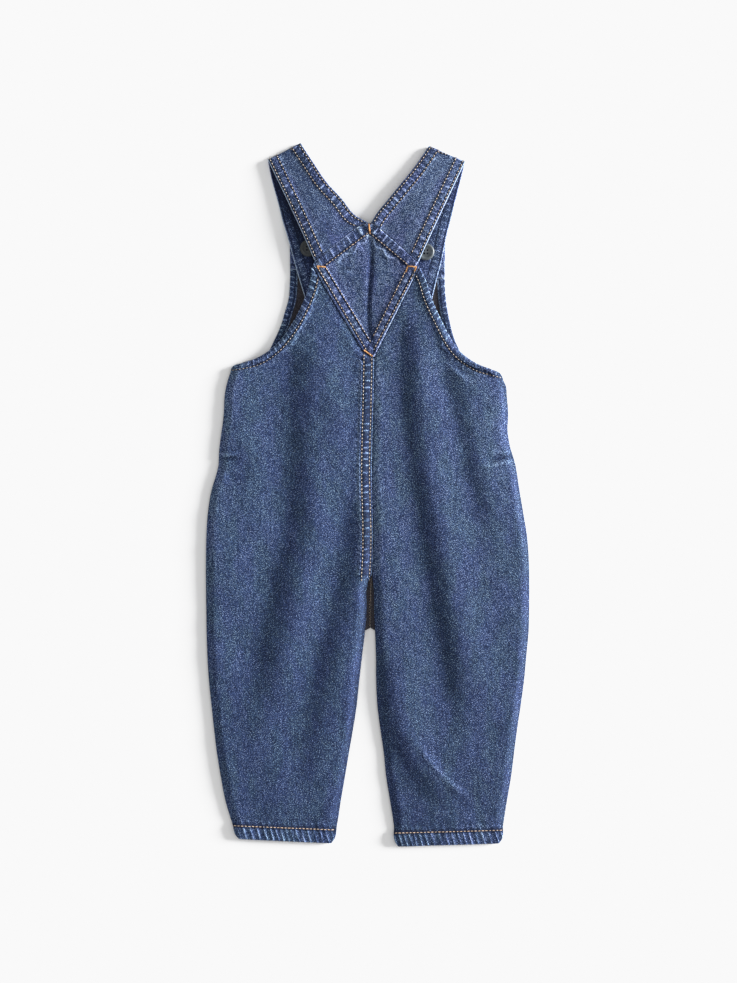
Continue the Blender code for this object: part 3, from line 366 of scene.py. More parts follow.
# Light: the floor is a little over-exposed, as on a bright table, and the tone curve holds it white.
KEY_LIGHT = 15.2
KEY_SIZE = 26.0  # degrees across
KEY_ELEVATION = 10.2
KEY_AZIMUTH = 12.0
FILL_LIGHT = 0.66
BRIGHTEST = 1.35
TONES = ((0.30, 0.30), (0.58, 0.60), (0.90, 0.87), (1.15, 0.94), (BRIGHTEST, 0.947))
FLOOR_HALF = 6.0  # metres
CAMERA = (0.00088, 0.0033, 2.05)
LENS = 85.0

# Grid spacing.
BACK_PITCH = 1.5
FRONT_PITCH = 3.2
STRAP_PITCH = 1.0


# ---------------------------------------------------------------------------------------- shapes

def unit(vectors):
    """Vectors divided by their lengths."""
    return vectors / np.maximum(np.linalg.norm(vectors, axis=-1, keepdims=True), 1e-9)


def ease(t):
    """A smooth step from 0 to 1."""
    t = np.clip(t, 0.0, 1.0)
    return t * t * (3.0 - 2.0 * t)


def bell(distance, width):
    """A bell curve: 1 at no distance, and about a third at this width."""
    return np.exp(-((distance / width) ** 2))


def curve(table, at):
    """The second column of a table read at places on the first, on a cubic through every row."""
    place, value = np.array(table, float).T
    slope = np.gradient(value, place)
    lower = np.clip(np.searchsorted(place, at, side="right") - 1, 0, len(place) - 2)
    span = place[lower + 1] - place[lower]
    t = np.clip((at - place[lower]) / span, 0.0, 1.0)
    rise = 3 * t**2 - 2 * t**3
    return (
        value[lower] * (1 - rise) + value[lower + 1] * rise
        + span * slope[lower] * (t**3 - 2 * t**2 + t) + span * slope[lower + 1] * (t**3 - t**2)
    )


def edge_at(table, levels):
    """Points of an edge, given as a table of (y, x), at these levels of y."""
    return np.stack([curve(table, levels), levels], 1)


def at_height(edge, height):
    """An edge's points in plan, with heights."""
    return np.column_stack([edge, np.broadcast_to(height, len(edge))])


def lengths(points):
    """How far along a line each of its points lies, in plan."""
    steps = np.linalg.norm(np.diff(np.asarray(points, float)[:, :2], axis=0), axis=1)
    return np.concatenate([[0.0], np.cumsum(steps)])


def path(table, count):
    """Points along a smooth curve through a table's rows, evenly spaced along it."""
    length = lengths(table)
    at = np.linspace(0.0, length[-1], count)
    return np.stack([curve(np.stack([length, column], 1), at) for column in np.array(table).T], 1)


def polyline(table, shares):
    """Points at these shares of the length of a table's straight runs."""
    length = lengths(table)
    return np.stack([np.interp(shares * length[-1], length, column) for column in np.array(table).T], 1)


def seam_at(seam, levels):
    """Points (x, y, height) where a straight-sided seam crosses these levels of y."""
    x, y, height = np.array(seam).T
    return np.stack([np.interp(levels, y, x), levels, np.interp(levels, y, height)], 1)


def moved_out(points, distance):
    """Points of a line moved sideways in plan, to the left of its direction where positive."""
    along = unit(np.gradient(points[:, :2], axis=0))
    moved = points.copy()
    moved[:, 0] -= along[:, 1] * distance
    moved[:, 1] += along[:, 0] * distance
    return moved


def widths(outer, inner):
    """How long each straight row between two edges is, in plan."""
    return np.linalg.norm(inner[:, :2] - outer[:, :2], axis=1)[:, None]


def sine_to(outer, inner):
    """How steeply each row leaves its outer edge: 1 where it is square to it."""
    row = unit(inner[:, :2] - outer[:, :2])
    edge = unit(np.gradient(outer[:, :2], axis=0))
    return np.clip(np.abs(row[:, 0] * edge[:, 1] - row[:, 1] * edge[:, 0]), STEEPEST, 1.0)[:, None]


def close_columns(band):
    """Distances of the columns over a band: dense at the rolled edge and at the stitching."""
    rim = [0.0, 0.2, 0.5, 0.9, 1.5, 2.2]
    middle = np.linspace(3.0, band - 1.4, max(2, round(band - 4.4)))
    return np.concatenate([rim, middle, [band - 0.6, band, band + 0.5, band + BAND_STEP, band + 2.2]])


def columns_between(outer, inner, outer_band, inner_band, pitch):
    """Each column's distance from the outer edge, along its row: close columns over both bands,
    drawn together where a row is short, and even ones between them."""
    length = widths(outer, inner)
    near = close_columns(outer_band) / sine_to(outer, inner)
    far = close_columns(inner_band) / sine_to(inner, outer)
    near, far = (close * np.minimum(1.0, BAND_SHARE * length / close[:, -1:]) for close in (near, far))
    far = length - far[:, ::-1]
    between = max(2, int((length.max() - outer_band - inner_band) / pitch))
    share = np.arange(1, between) / between
    middle = near[:, -1:] + (far[:, :1] - near[:, -1:]) * share
    return np.concatenate([near, middle, far], 1)


def spread(outer, inner, distance):
    """Points on straight rows at these distances from the outer edge."""
    share = (distance / widths(outer, inner))[..., None]
    return outer[:, None] * (1 - share) + inner[:, None] * share


def rows_between(outer, inner, outer_band, inner_band, pitch):
    """A grid of points on straight rows between two edges, and their distances from the outer and
    the inner edge, first along the rows and then square to the edges."""
    run = columns_between(outer, inner, outer_band, inner_band, pitch)
    rest = widths(outer, inner) - run
    return spread(outer, inner, run), run, rest, run * sine_to(outer, inner), rest * sine_to(inner, outer)


def beside(course, x, y, count=28):
    """For each point, its distance from a smooth course, positive on the right of its direction,
    and how far along it the nearest place lies and how far that is from the course's far end."""
    line = path(course, count)
    start, step = line[:-1], np.diff(line, axis=0)
    long = np.linalg.norm(step, axis=1)
    from_x, from_y = x[..., None] - start[:, 0], y[..., None] - start[:, 1]
    share = np.clip((from_x * step[:, 0] + from_y * step[:, 1]) / long**2, 0.0, 1.0)
    gap = np.hypot(from_x - share * step[:, 0], from_y - share * step[:, 1])
    side = from_x * step[:, 1] - from_y * step[:, 0]
    nearest = np.argmin(gap, axis=-1)[..., None]
    gap, side, share = (np.take_along_axis(values, nearest, -1)[..., 0] for values in (gap, side, share))
    along = (nearest[..., 0] + share) * long.mean()
    return gap * np.sign(side), along, long.sum() - along


def beside_line(first, last, x, y):
    """Each point's distance from the straight line through two places, positive on its right, and
    how far along the line it lies."""
    step = unit(np.array(last[:2]) - first[:2])
    from_x, from_y = x - first[0], y - first[1]
    return from_x * step[1] - from_y * step[0], from_x * step[0] + from_y * step[1]


def folds_at(folds, x, y):
    """Height of the folds, and how much darker their steep banks are coloured, partly dye kept in
    the hollow and partly painted shade: over each course the cloth climbs from a trough on its
    left to a crest on its right, both bell-shaped. The trough is narrower than the crest, and both
    are gentle away from the course."""
    total, dye = np.zeros_like(x), np.zeros_like(x)
    for height, steep, gentle, lower_fade, course in folds:
        off, along, left = beside(course, x, y)
        crest = np.where(off < 1.2 * steep, 1.3 * steep, gentle)
        trough = np.where(off > -0.9 * steep, 0.8 * steep, gentle)
        shape = bell(off - 1.2 * steep, crest) - 0.8 * bell(off + 0.9 * steep, trough)
        fade = ease(along / lower_fade) * ease(left / FOLD_FADE)
        total += 0.5 * height * shape * fade
        dye += height * bell(off, 1.25 * steep) * fade
    return total, dye


def creases_at(creases, x, y):
    """Height of the creases: a bell across each course, fading out at its ends."""
    total = np.zeros_like(x)
    for height, width, course in creases:
        off, along, left = beside(course, x, y)
        fade = 0.35 * (along + left)
        total += height * bell(off, width) * ease(along / fade) * ease(left / fade)
    return total


def unevenness(x, y, seed):
    """A slight waviness of the cloth: a sum of sines of unlike lengths and directions."""
    total = np.zeros_like(x)
    for size, long, turn in WAVES:
        across = x * math.cos(turn) + y * math.sin(turn)
        over = -x * math.sin(turn) + y * math.cos(turn)
        total += size * np.sin(2 * math.pi * across / long + seed + 1.4 * np.sin(over / long + 2 * seed))
    return total


def band(distance, width):
    """1 on a band of this width along an edge, 0 beyond the step down from it."""
    return 1.0 - ease((distance - width) / BAND_STEP)


def groove(distance, at, width=0.8):
    """The line that a row of stitches presses into the cloth."""
    return bell(distance - at, width)


def edge_line(distance):
    """The line that wear draws along a folded edge."""
    return bell(distance, 0.6)


def runs_in(along):
    """How much closer to its edge an armhole's row of stitches runs, near the underarm."""
    return ROW_RUNS_IN * (1 - ease(along / RUNS_IN_OVER))


def rolled(distance, thick):
    """How far an outer face drops towards an edge that is rolled or folded: a quarter of a circle."""
    t = np.clip(1.0 - distance / ROUNDING, 0.0, 1.0)
    return thick * 0.55 * (1.0 - np.sqrt(1.0 - t**2))


def blurred(values, cells=3):
    """A grid of values averaged over a square of this many cells each way, twice."""
    for axis in (0, 1, 0, 1):
        pad = [(0, 0), (0, 0)]
        pad[axis] = (cells + 1, cells)
        total = np.cumsum(np.pad(values, pad, mode="edge"), axis=axis)
        lower = np.arange(values.shape[axis])
        upper = np.take(total, lower + 2 * cells + 1, axis)
        values = (upper - np.take(total, lower, axis)) / (2 * cells + 1)
    return values


class Ribs:
    """The puckers that a seam's stitching draws up: how far along the seam and away from it each
    point lies, and the puckers counted along it, even but for a slow wander."""

    def __init__(self, along, distance, pitch, slant, seed):
        self.along, self.distance, self.seed = along, distance, seed
        wander = pitch * (0.35 * np.sin(along / 19.0 + seed) + 0.2 * np.sin(along / 7.3 + 2.0 * seed))
        self.count = (along + wander + slant * distance) / pitch

    def between(self, first, last):
        """Their height, 0 to 1: a cosine of their count, sharpened at its crests, between two
        distances from the edge."""
        wave = 0.5 + 0.5 * np.cos(2 * math.pi * self.count)
        slow = np.sin(self.along / 13.0 + 3.0 * self.seed) * np.sin(self.along / 5.1 + self.seed)
        window = ease((self.distance - first) / RUN_OUT) * ease((last - self.distance) / RUN_OUT)
        return wave**1.5 * (0.68 + 0.32 * slow) * window


# ---------------------------------------------------------------------------------------- meshes

def placed(name, data):
    """A new object in the scene, at the origin."""
    made = bpy.data.objects.new(name, data)
    bpy.context.scene.collection.objects.link(made)
    return made


def put_mesh(name, points, quads, finish, maps, values, sharp):
    """A mesh object from arrays: points in millimetres, four corners a face, and what its finish
    reads: places on maps and single numbers, one for each point."""
    mesh = bpy.data.meshes.new(name)
    mesh.vertices.add(len(points))
    mesh.vertices.foreach_set("co", (points * MM).astype(np.float32).ravel())
    mesh.loops.add(quads.size)
    mesh.loops.foreach_set("vertex_index", quads.astype(np.int32).ravel())
    mesh.polygons.add(len(quads))
    mesh.polygons.foreach_set("loop_start", np.arange(0, quads.size, 4, dtype=np.int32))
    mesh.update(calc_edges=True)
    for key, places in maps.items():
        layer = mesh.uv_layers.new(name=key)
        layer.data.foreach_set("uv", places[quads.ravel()].astype(np.float32).ravel())
    for key, column in values.items():
        attribute = mesh.attributes.new(key, "FLOAT", "POINT")
        attribute.data.foreach_set("value", column.astype(np.float32).ravel())
    mesh.materials.append(finish)
    mesh.shade_smooth()
    mesh.set_sharp_from_angle(angle=math.radians(sharp))
    made = placed(name, mesh)
    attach(made, "root")
    return made


class Cloth:
    """A wall of cloth: its inner and outer faces as grids of points, where its weave runs, how worn
    each point is, with painted light and shade added to the wear in places, and the seam nearest
    to it. inside is 1 where a face shows the denim's reverse, which is coloured dark as painted
    shade."""

    def __init__(self, inner, outer, weave=None):
        self.inner, self.outer = inner, outer
        self.weave = inner[..., :2] if weave is None else weave
        self.wear, self.ribs, self.inside = np.zeros((3, *outer.shape[:2]))
        self.across, self.drawn = self.wear + NO_SEAM, self.wear + 1.0
        self.lining = 1.0
        self.normal = unit(np.cross(np.gradient(outer, axis=1), np.gradient(outer, axis=0)))
        self.flipped = np.sum(self.normal * (outer - inner), axis=-1).mean() < 0
        if self.flipped:
            self.normal = -self.normal

    def worn_and_shaded_by(self, relief):
        """Crests paler and hollows darker, by how far each point stands off its surroundings: partly wear and
        dye kept in the hollows, partly painted highlight and shade.
        """
        self.wear += RELIEF_WEAR_AND_SHADE * (relief - blurred(relief))

    def seam(self, where, ribs, first, last, drawn=1.0):
        """A seam whose puckers and rows the finish draws: each point keeps its count of ribs, its
        share of the way from the first line to the last, and how strongly it is drawn up, for the
        seam that it is nearest to."""
        share = (ribs.distance - first) / (last - first) + 0 * self.wear
        share = np.where(where, np.clip(share, 1 - NO_SEAM, NO_SEAM), NO_SEAM)
        nearer = np.abs(share - 0.5) < np.abs(self.across - 0.5)
        self.across = np.where(nearer, share, self.across)
        self.ribs = np.where(nearer, ribs.count, self.ribs)
        self.drawn = np.where(nearer, drawn, self.drawn)

    def drop(self, places):
        """Points and normals of the outer face under these places in plan: the nearest grid point's
        own plane is read there, no further than a stitch lies from that point."""
        flat = self.outer.reshape(-1, 3)
        nearest = np.argmin(((places[:, None, :2] - flat[None, :, :2]) ** 2).sum(-1), axis=1)
        point, normal = flat[nearest], self.normal.reshape(-1, 3)[nearest]
        rise = -((places[:, :2] - point[:, :2]) * normal[:, :2]).sum(-1) / np.maximum(normal[:, 2], 0.3)
        return at_height(places[:, :2], point[:, 2] + np.clip(rise, -STITCH[2], STITCH[2])), normal

    def along(self, distance, run, rows):
        """Points and normals of the outer face where each of these rows reaches this distance, run
        being the distances of the columns from the edge that it is measured from."""
        face, normal = self.outer, self.normal
        if run[0, 0] > run[0, -1]:
            run, face, normal = run[:, ::-1], face[:, ::-1], normal[:, ::-1]
        row = np.arange(len(run))
        column = np.clip((run < distance).sum(axis=1), 1, run.shape[1] - 1)
        before, after = run[row, column - 1], run[row, column]
        share = np.clip((distance - before) / np.maximum(after - before, 1e-6), 0.0, 1.0)[:, None]
        return [(grid[row, column - 1] * (1 - share) + grid[row, column] * share)[rows]
                for grid in (face, normal)]

    def build(self, node, finish, kept=...):
        """Puts these cells of the wall into a mesh, closes its rim, parents it to the root body and hides the
        CAD part that it replaces.
        """
        count = self.wear.size
        index = np.arange(count).reshape(self.wear.shape)
        cells = np.stack([index[:-1, :-1], index[:-1, 1:], index[1:, 1:], index[1:, :-1]], -1)
        cells = cells[kept].reshape(-1, 4)
        start, end = cells.T.ravel(), np.roll(cells, -1, 1).T.ravel()
        open_side = ~np.isin(start * count + end, end * count + start)
        start, end = start[open_side], end[open_side]
        rim = np.stack([start, end, end + count, start + count], 1)
        quads = np.concatenate([cells + count, cells[:, ::-1], rim])
        if self.flipped:
            quads = quads[:, ::-1]
        used, quads = np.unique(quads, return_inverse=True)
        at = used % count
        made = put_mesh(
            node + "_cloth", np.concatenate([self.inner, self.outer]).reshape(-1, 3)[used],
            quads.reshape(-1, 4), finish,
            {"cloth": self.weave.reshape(-1, 2)[at] * MM,
             "seam": np.stack([self.ribs, self.across], -1).reshape(-1, 2)[at]},
            {"wear": np.clip(self.wear, -1.0, 1.0).ravel()[at],
             "inside": np.where(used < count, self.lining, self.inside.ravel()[at]),
             "drawn": self.drawn.ravel()[at]},
            60.0,
        )
        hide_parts(node)


class Threads:
    """Rows of stitches, gathered and then made one mesh."""

    def __init__(self):
        self.rows = []

    def row(self, points, normals, shade=TAN, stitch=STITCH, turn=0.0):
        """Stitches along a line of points, each turned in plan by an angle from its direction."""
        pitch, long, radius = stitch
        length = np.concatenate([[0.0], np.cumsum(np.linalg.norm(np.diff(points, axis=0), axis=1))])
        at = np.arange(pitch / 2, length[-1] - pitch / 4, pitch)

        def read(places, columns):
            return np.stack([np.interp(places, length, column) for column in columns.T], 1)

        up = unit(read(at, normals))
        along = read(at + 0.3, points) - read(at - 0.3, points)
        along = unit(along - up * (along * up).sum(1, keepdims=True))
        along = along * math.cos(turn) + np.cross(up, along) * math.sin(turn)
        facts = (np.full(len(at), value) for value in (long, radius, shade))
        self.rows.append((read(at, points), along, np.cross(up, along), up, *facts))

    def build(self, name, finish, seed):
        """Each stitch is a bowed bead of six sides and five rings, its ends sunk into the cloth."""
        centre, along, across, up, size, radius, shade = map(np.concatenate, zip(*self.rows))
        count = len(centre)
        chance = np.random.default_rng(seed)
        size = size * chance.uniform(0.88, 1.08, count)
        turn = chance.normal(0.0, 0.07, count)[:, None]
        along, across = along + across * turn, across - along * turn
        t = np.linspace(-1.0, 1.0, STITCH_RINGS)[:, None]
        angle = np.arange(STITCH_SIDES) * 2 * math.pi / STITCH_SIDES
        bulge = np.sqrt(1.0 - 0.10 * t**4)
        lift = 0.40 - 0.20 * t**2
        points = centre[:, None, None]
        for axis, scale, part in (
            (along, size, t * 0.5 + 0.0 * angle),
            (across, radius, bulge * np.cos(angle)),
            (up, radius, lift + bulge * np.sin(angle)),
        ):
            points = points + axis[:, None, None] * (part * scale[:, None, None])[..., None]
        corners = STITCH_RINGS * STITCH_SIDES
        ring = np.arange(corners).reshape(STITCH_RINGS, STITCH_SIDES)
        after = np.roll(ring, -1, 1)
        sides = np.stack([ring[:-1], after[:-1], after[1:], ring[1:]], -1).reshape(-1, 4)
        caps = ring[0][[[0, 5, 2, 1], [5, 4, 3, 2]]], ring[-1][[[0, 1, 2, 5], [2, 3, 4, 5]]]
        one = np.concatenate([sides, *caps])[:, ::-1]
        quads = (one + corners * np.arange(count)[:, None, None]).reshape(-1, 4)
        tone = np.repeat(shade + chance.normal(0.0, 0.06, count), corners)
        place = np.tile(np.repeat(t, STITCH_SIDES), count)
        made = put_mesh(name, points.reshape(-1, 3), quads, finish, {}, {"shade": tone, "place": place}, 80.0)


# -------------------------------------------------------------------------------------- finishes

class Number:
    """A socket's number: used in an expression, it adds the Math nodes for it."""

    def __init__(self, finish, socket):
        self.finish, self.socket = finish, socket

    def _math(self, operation, first, second=0.0):
        return self.finish.add("ShaderNodeMath", {"operation": operation}, {0: first, 1: second})

    def __add__(self, other):
        return self._math("ADD", self, other)

    def __sub__(self, other):
        return self._math("SUBTRACT", self, other)

    def __rsub__(self, other):
        return self._math("SUBTRACT", other, self)

    def __mul__(self, other):
        return self._math("MULTIPLY", self, other)

    __radd__ = __add__
    __rmul__ = __mul__

    def sine(self):
        return self._math("SINE", self)

    def above(self, low, high):
        """0 under low, 1 over high, and a smooth step between them."""
        return self.finish.add("ShaderNodeMapRange", {"interpolation_type": "SMOOTHSTEP"},
                               {"Value": self, "From Min": low, "From Max": high})


class Finish:
    """A material, and the one way in which nodes are added to it."""

    def __init__(self, name):
        self.material = bpy.data.materials.new(name)
        self.material.use_nodes = True
        self.tree = self.material.node_tree

    def feed(self, socket, value):
        """Links a value that varies to a socket, or sets it."""
        if isinstance(value, Number):
            self.tree.links.new(value.socket, socket)
        else:
            socket.default_value = value

    def add(self, kind, settings, inputs, output=0):
        """A node of this type: its settings first, then its values and links."""
        node = self.tree.nodes.new(kind)
        for key, value in settings.items():
            if key == "stops":
                ramp = node.color_ramp.elements
                while len(ramp) < len(value):
                    ramp.new(0.5)
                for stop, (place, colour) in zip(ramp, value):
                    stop.position = place
                    stop.color = (*colour, 1.0)
            else:
                setattr(node, key, value)
        for key, value in inputs.items():
            self.feed(node.inputs[key], value)
        return Number(self, node.outputs[output])

    def attribute(self, name):
        return self.add("ShaderNodeAttribute", {"attribute_name": name}, {}, "Fac")

    def noise(self, vector, scale, turn, stretch, detail, seat):
        """Smooth noise on a plane, turned by an angle and then drawn out along its axes."""
        vector = self.add(
            "ShaderNodeMapping", {"vector_type": "TEXTURE"},
            {"Vector": vector, "Rotation": (0.0, 0.0, turn), "Location": (seat, seat / 2, 0.0),
             "Scale": (*stretch, 1.0)},
        )
        return self.add("ShaderNodeTexNoise", {"noise_dimensions": "2D"},
                        {"Vector": vector, "Scale": scale, "Detail": detail, "Roughness": 0.55}, "Fac")

    def speckle(self, scale, detail):
        """Smooth noise in space."""
        place = self.add("ShaderNodeTexCoord", {}, {}, "Object")
        return self.add("ShaderNodeTexNoise", {}, {"Vector": place, "Scale": scale, "Detail": detail}, "Fac")

    def ramp(self, stops, factor):
        return self.add("ShaderNodeValToRGB", {"stops": stops}, {"Fac": factor})

    def mix(self, factor, first, second, blend="MIX"):
        """One colour into another."""
        first, second = (value if isinstance(value, Number) else (*value, 1.0) for value in (first, second))
        return self.add("ShaderNodeMix", {"data_type": "RGBA", "blend_type": blend},
                        {0: factor, 6: first, 7: second}, 2)

    def bump(self, height, distance, **under):
        return self.add("ShaderNodeBump", {}, {"Height": height, "Distance": distance, **under})

    def surface(self, **sockets):
        """Sets or links the shader's own sockets; an underscore stands for a space."""
        for key, value in sockets.items():
            self.feed(self.tree.nodes["Principled BSDF"].inputs[key.replace("_", " ")], value)
        return self.material


def denim(name, fade, patchy, cast, seat):
    """Washed indigo twill: a blue ground with short pale weft flecks that lean along the twill,
    slubs down the warp, cloudy fading and pale worn crests; the wear that it reads also carries
    painted light and shade in places. Its reverse is coloured near black-brown as painted shade.
    Between the rows of a seam lie pale bars, its puckers, and the rows themselves keep their dye.
    patchy is how unevenly it has washed, and cast tints it."""
    cloth = Finish(name)
    place, seam = (cloth.add("ShaderNodeUVMap", {"uv_map": key}, {}) for key in ("cloth", "seam"))
    wear, inside, drawn_up = (cloth.attribute(key) for key in ("wear", "inside", "drawn"))
    ribs, across = (cloth.add("ShaderNodeSeparateXYZ", {}, {"Vector": seam}, axis) for axis in "XY")
    dash, grain, fleck, slub, cloud, hue, mottle, creased = (
        cloth.noise(place, *row, seat + away) for *row, away in NOISES)
    ground = (dash - 0.5) * 0.45 + (grain - 0.5) * 2.1 + (slub - 0.5) * 0.25 + (cloud - 0.5) * 0.10
    bars = (ribs * (2 * math.pi) + math.pi / 2).sine().above(0.30, 1.0)
    uneven = cloth.noise(seam, 2.3, 0.0, (1.0, 2.0), 1.0, seat).above(0.36, 0.66)
    between = across.above(0.02, 0.16) * (1.0 - across.above(0.84, 0.98))
    beyond = across.above(1.04, 1.12) * (1.0 - across.above(1.20, 1.75))
    rows = 2.0 - (across * across).above(0.0, 0.03) - ((across - 1.0) * (across - 1.0)).above(0.0, 0.03)
    sewn = drawn_up * (between * (bars * uneven * 0.66 - 0.12) + beyond * bars * uneven * 0.42 - rows * 0.48)
    tone = ground + (mottle - 0.5) * patchy + fleck.above(0.68, 0.84) * FLECK
    tone = tone + wear * ((dash - 0.5) * 1.0 + 0.75) + sewn + (GROUND + fade)
    worn = cloth.ramp(INDIGO, tone)
    warm, cool = (tuple(np.multiply(cast, tint).tolist()) for tint in (WARM, COOL))
    worn = cloth.mix(1.0, worn, cloth.mix(hue.above(0.32, 0.68), warm, cool), "MULTIPLY")
    worn = cloth.mix(wear.above(0.65, 1.0), worn, BARE)
    normal = cloth.bump(dash, 0.00006, Normal=cloth.bump(creased, 0.0004))
    return cloth.surface(
        Base_Color=cloth.mix(inside, worn, cloth.ramp(REVERSE_PAINTED_SHADE, ground + 0.5)),
        Roughness=0.85 + (grain - 0.5) * 0.3, Normal=cloth.bump(bars * between, 0.0002, Normal=normal),
        Specular_IOR_Level=0.2, Sheen_Weight=0.04,
    )


def thread_finish():
    """Twisted polyester topstitching: tan to orange, and near black where it dives into the cloth, as painted
    shade.
    """
    thread = Finish("topstitch_thread")
    shade, end = thread.attribute("shade"), thread.attribute("place")
    strand = thread.speckle(1500.0, 2.0)
    bright = thread.mix(shade, (0.52, 0.46, 0.40), (0.62, 0.33, 0.12))
    # The near-black dark is painted shade, where the thread dives into its needle hole.
    dark = thread.mix(shade, (0.004, 0.004, 0.007), (0.18, 0.07, 0.02))
    sunk = (end * end - shade.above(0.14, 0.22) * 0.24).above(0.03, 0.15)
    sunk = sunk + (0.58 - strand).above(0.0, 0.25) * 0.2
    return thread.surface(
        Base_Color=thread.mix(sunk, bright, dark), Roughness=0.45 + strand * 0.2,
        Normal=thread.bump(strand, 0.0002), Specular_IOR_Level=0.4,
    )


def resin_finish(name, tone):
    """Green-grey button resin, faintly cloudy and satin; tone scales its colours, and under 1 it is painted
    shade.
    """
    resin = Finish(name)
    cloud, grain = resin.speckle(240.0, 4.0), resin.speckle(1800.0, 3.0)
    dark, light = (tuple(tone * part for part in colour) for colour in RESIN)
    return resin.surface(
        Base_Color=resin.mix(cloud.above(0.35, 0.68), dark, light), Roughness=0.30 + grain * 0.25,
        Normal=resin.bump(grain, 0.00004), Specular_IOR_Level=0.5,
    )


def floor_finish():
    """Matt white paper."""
    paper = Finish("paper")
    colour = paper.mix(paper.speckle(60.0, 4.0), (0.895, 0.895, 0.900), (0.905, 0.905, 0.905))
    return paper.surface(Base_Color=colour, Roughness=0.9, Specular_IOR_Level=0.1)


# ------------------------------------------------------------------------------------ the pieces

def centre_line(table, hand):
    """The right-hand pieces stand off the centre seam by the gap between pieces."""
    return [(y, x + GAP * (hand == RIGHT)) for y, x in table]


def leg_and_body(side, inseam, centre, top, pitch):
    """Outer and inner edges of a half from its hem to the underarm, and each row's distance from
    the hem. Rows are close over the hem and even above it. The inner edge follows the inseam to
    the crotch and then the centre seam."""
    hem, crotch = side[0][0], centre[0][0]
    leg_length = crotch - hem
    close = close_columns(LEG_HEM)
    even = np.linspace(close[-1], leg_length, int(leg_length / pitch))[1:]
    leg = np.concatenate([close, even]) / leg_length
    body = np.linspace(0, 1, int((side[-1][0] - crotch) / pitch))[1:]
    level = np.concatenate([hem + leg * leg_length, crotch + body * (side[-1][0] - crotch)])
    inner = np.concatenate([
        edge_at(inseam, inseam[0][0] + leg * (crotch - inseam[0][0])),
        edge_at(centre, crotch + body * (top - crotch)),
    ])
    return edge_at(side, level), inner, level - hem


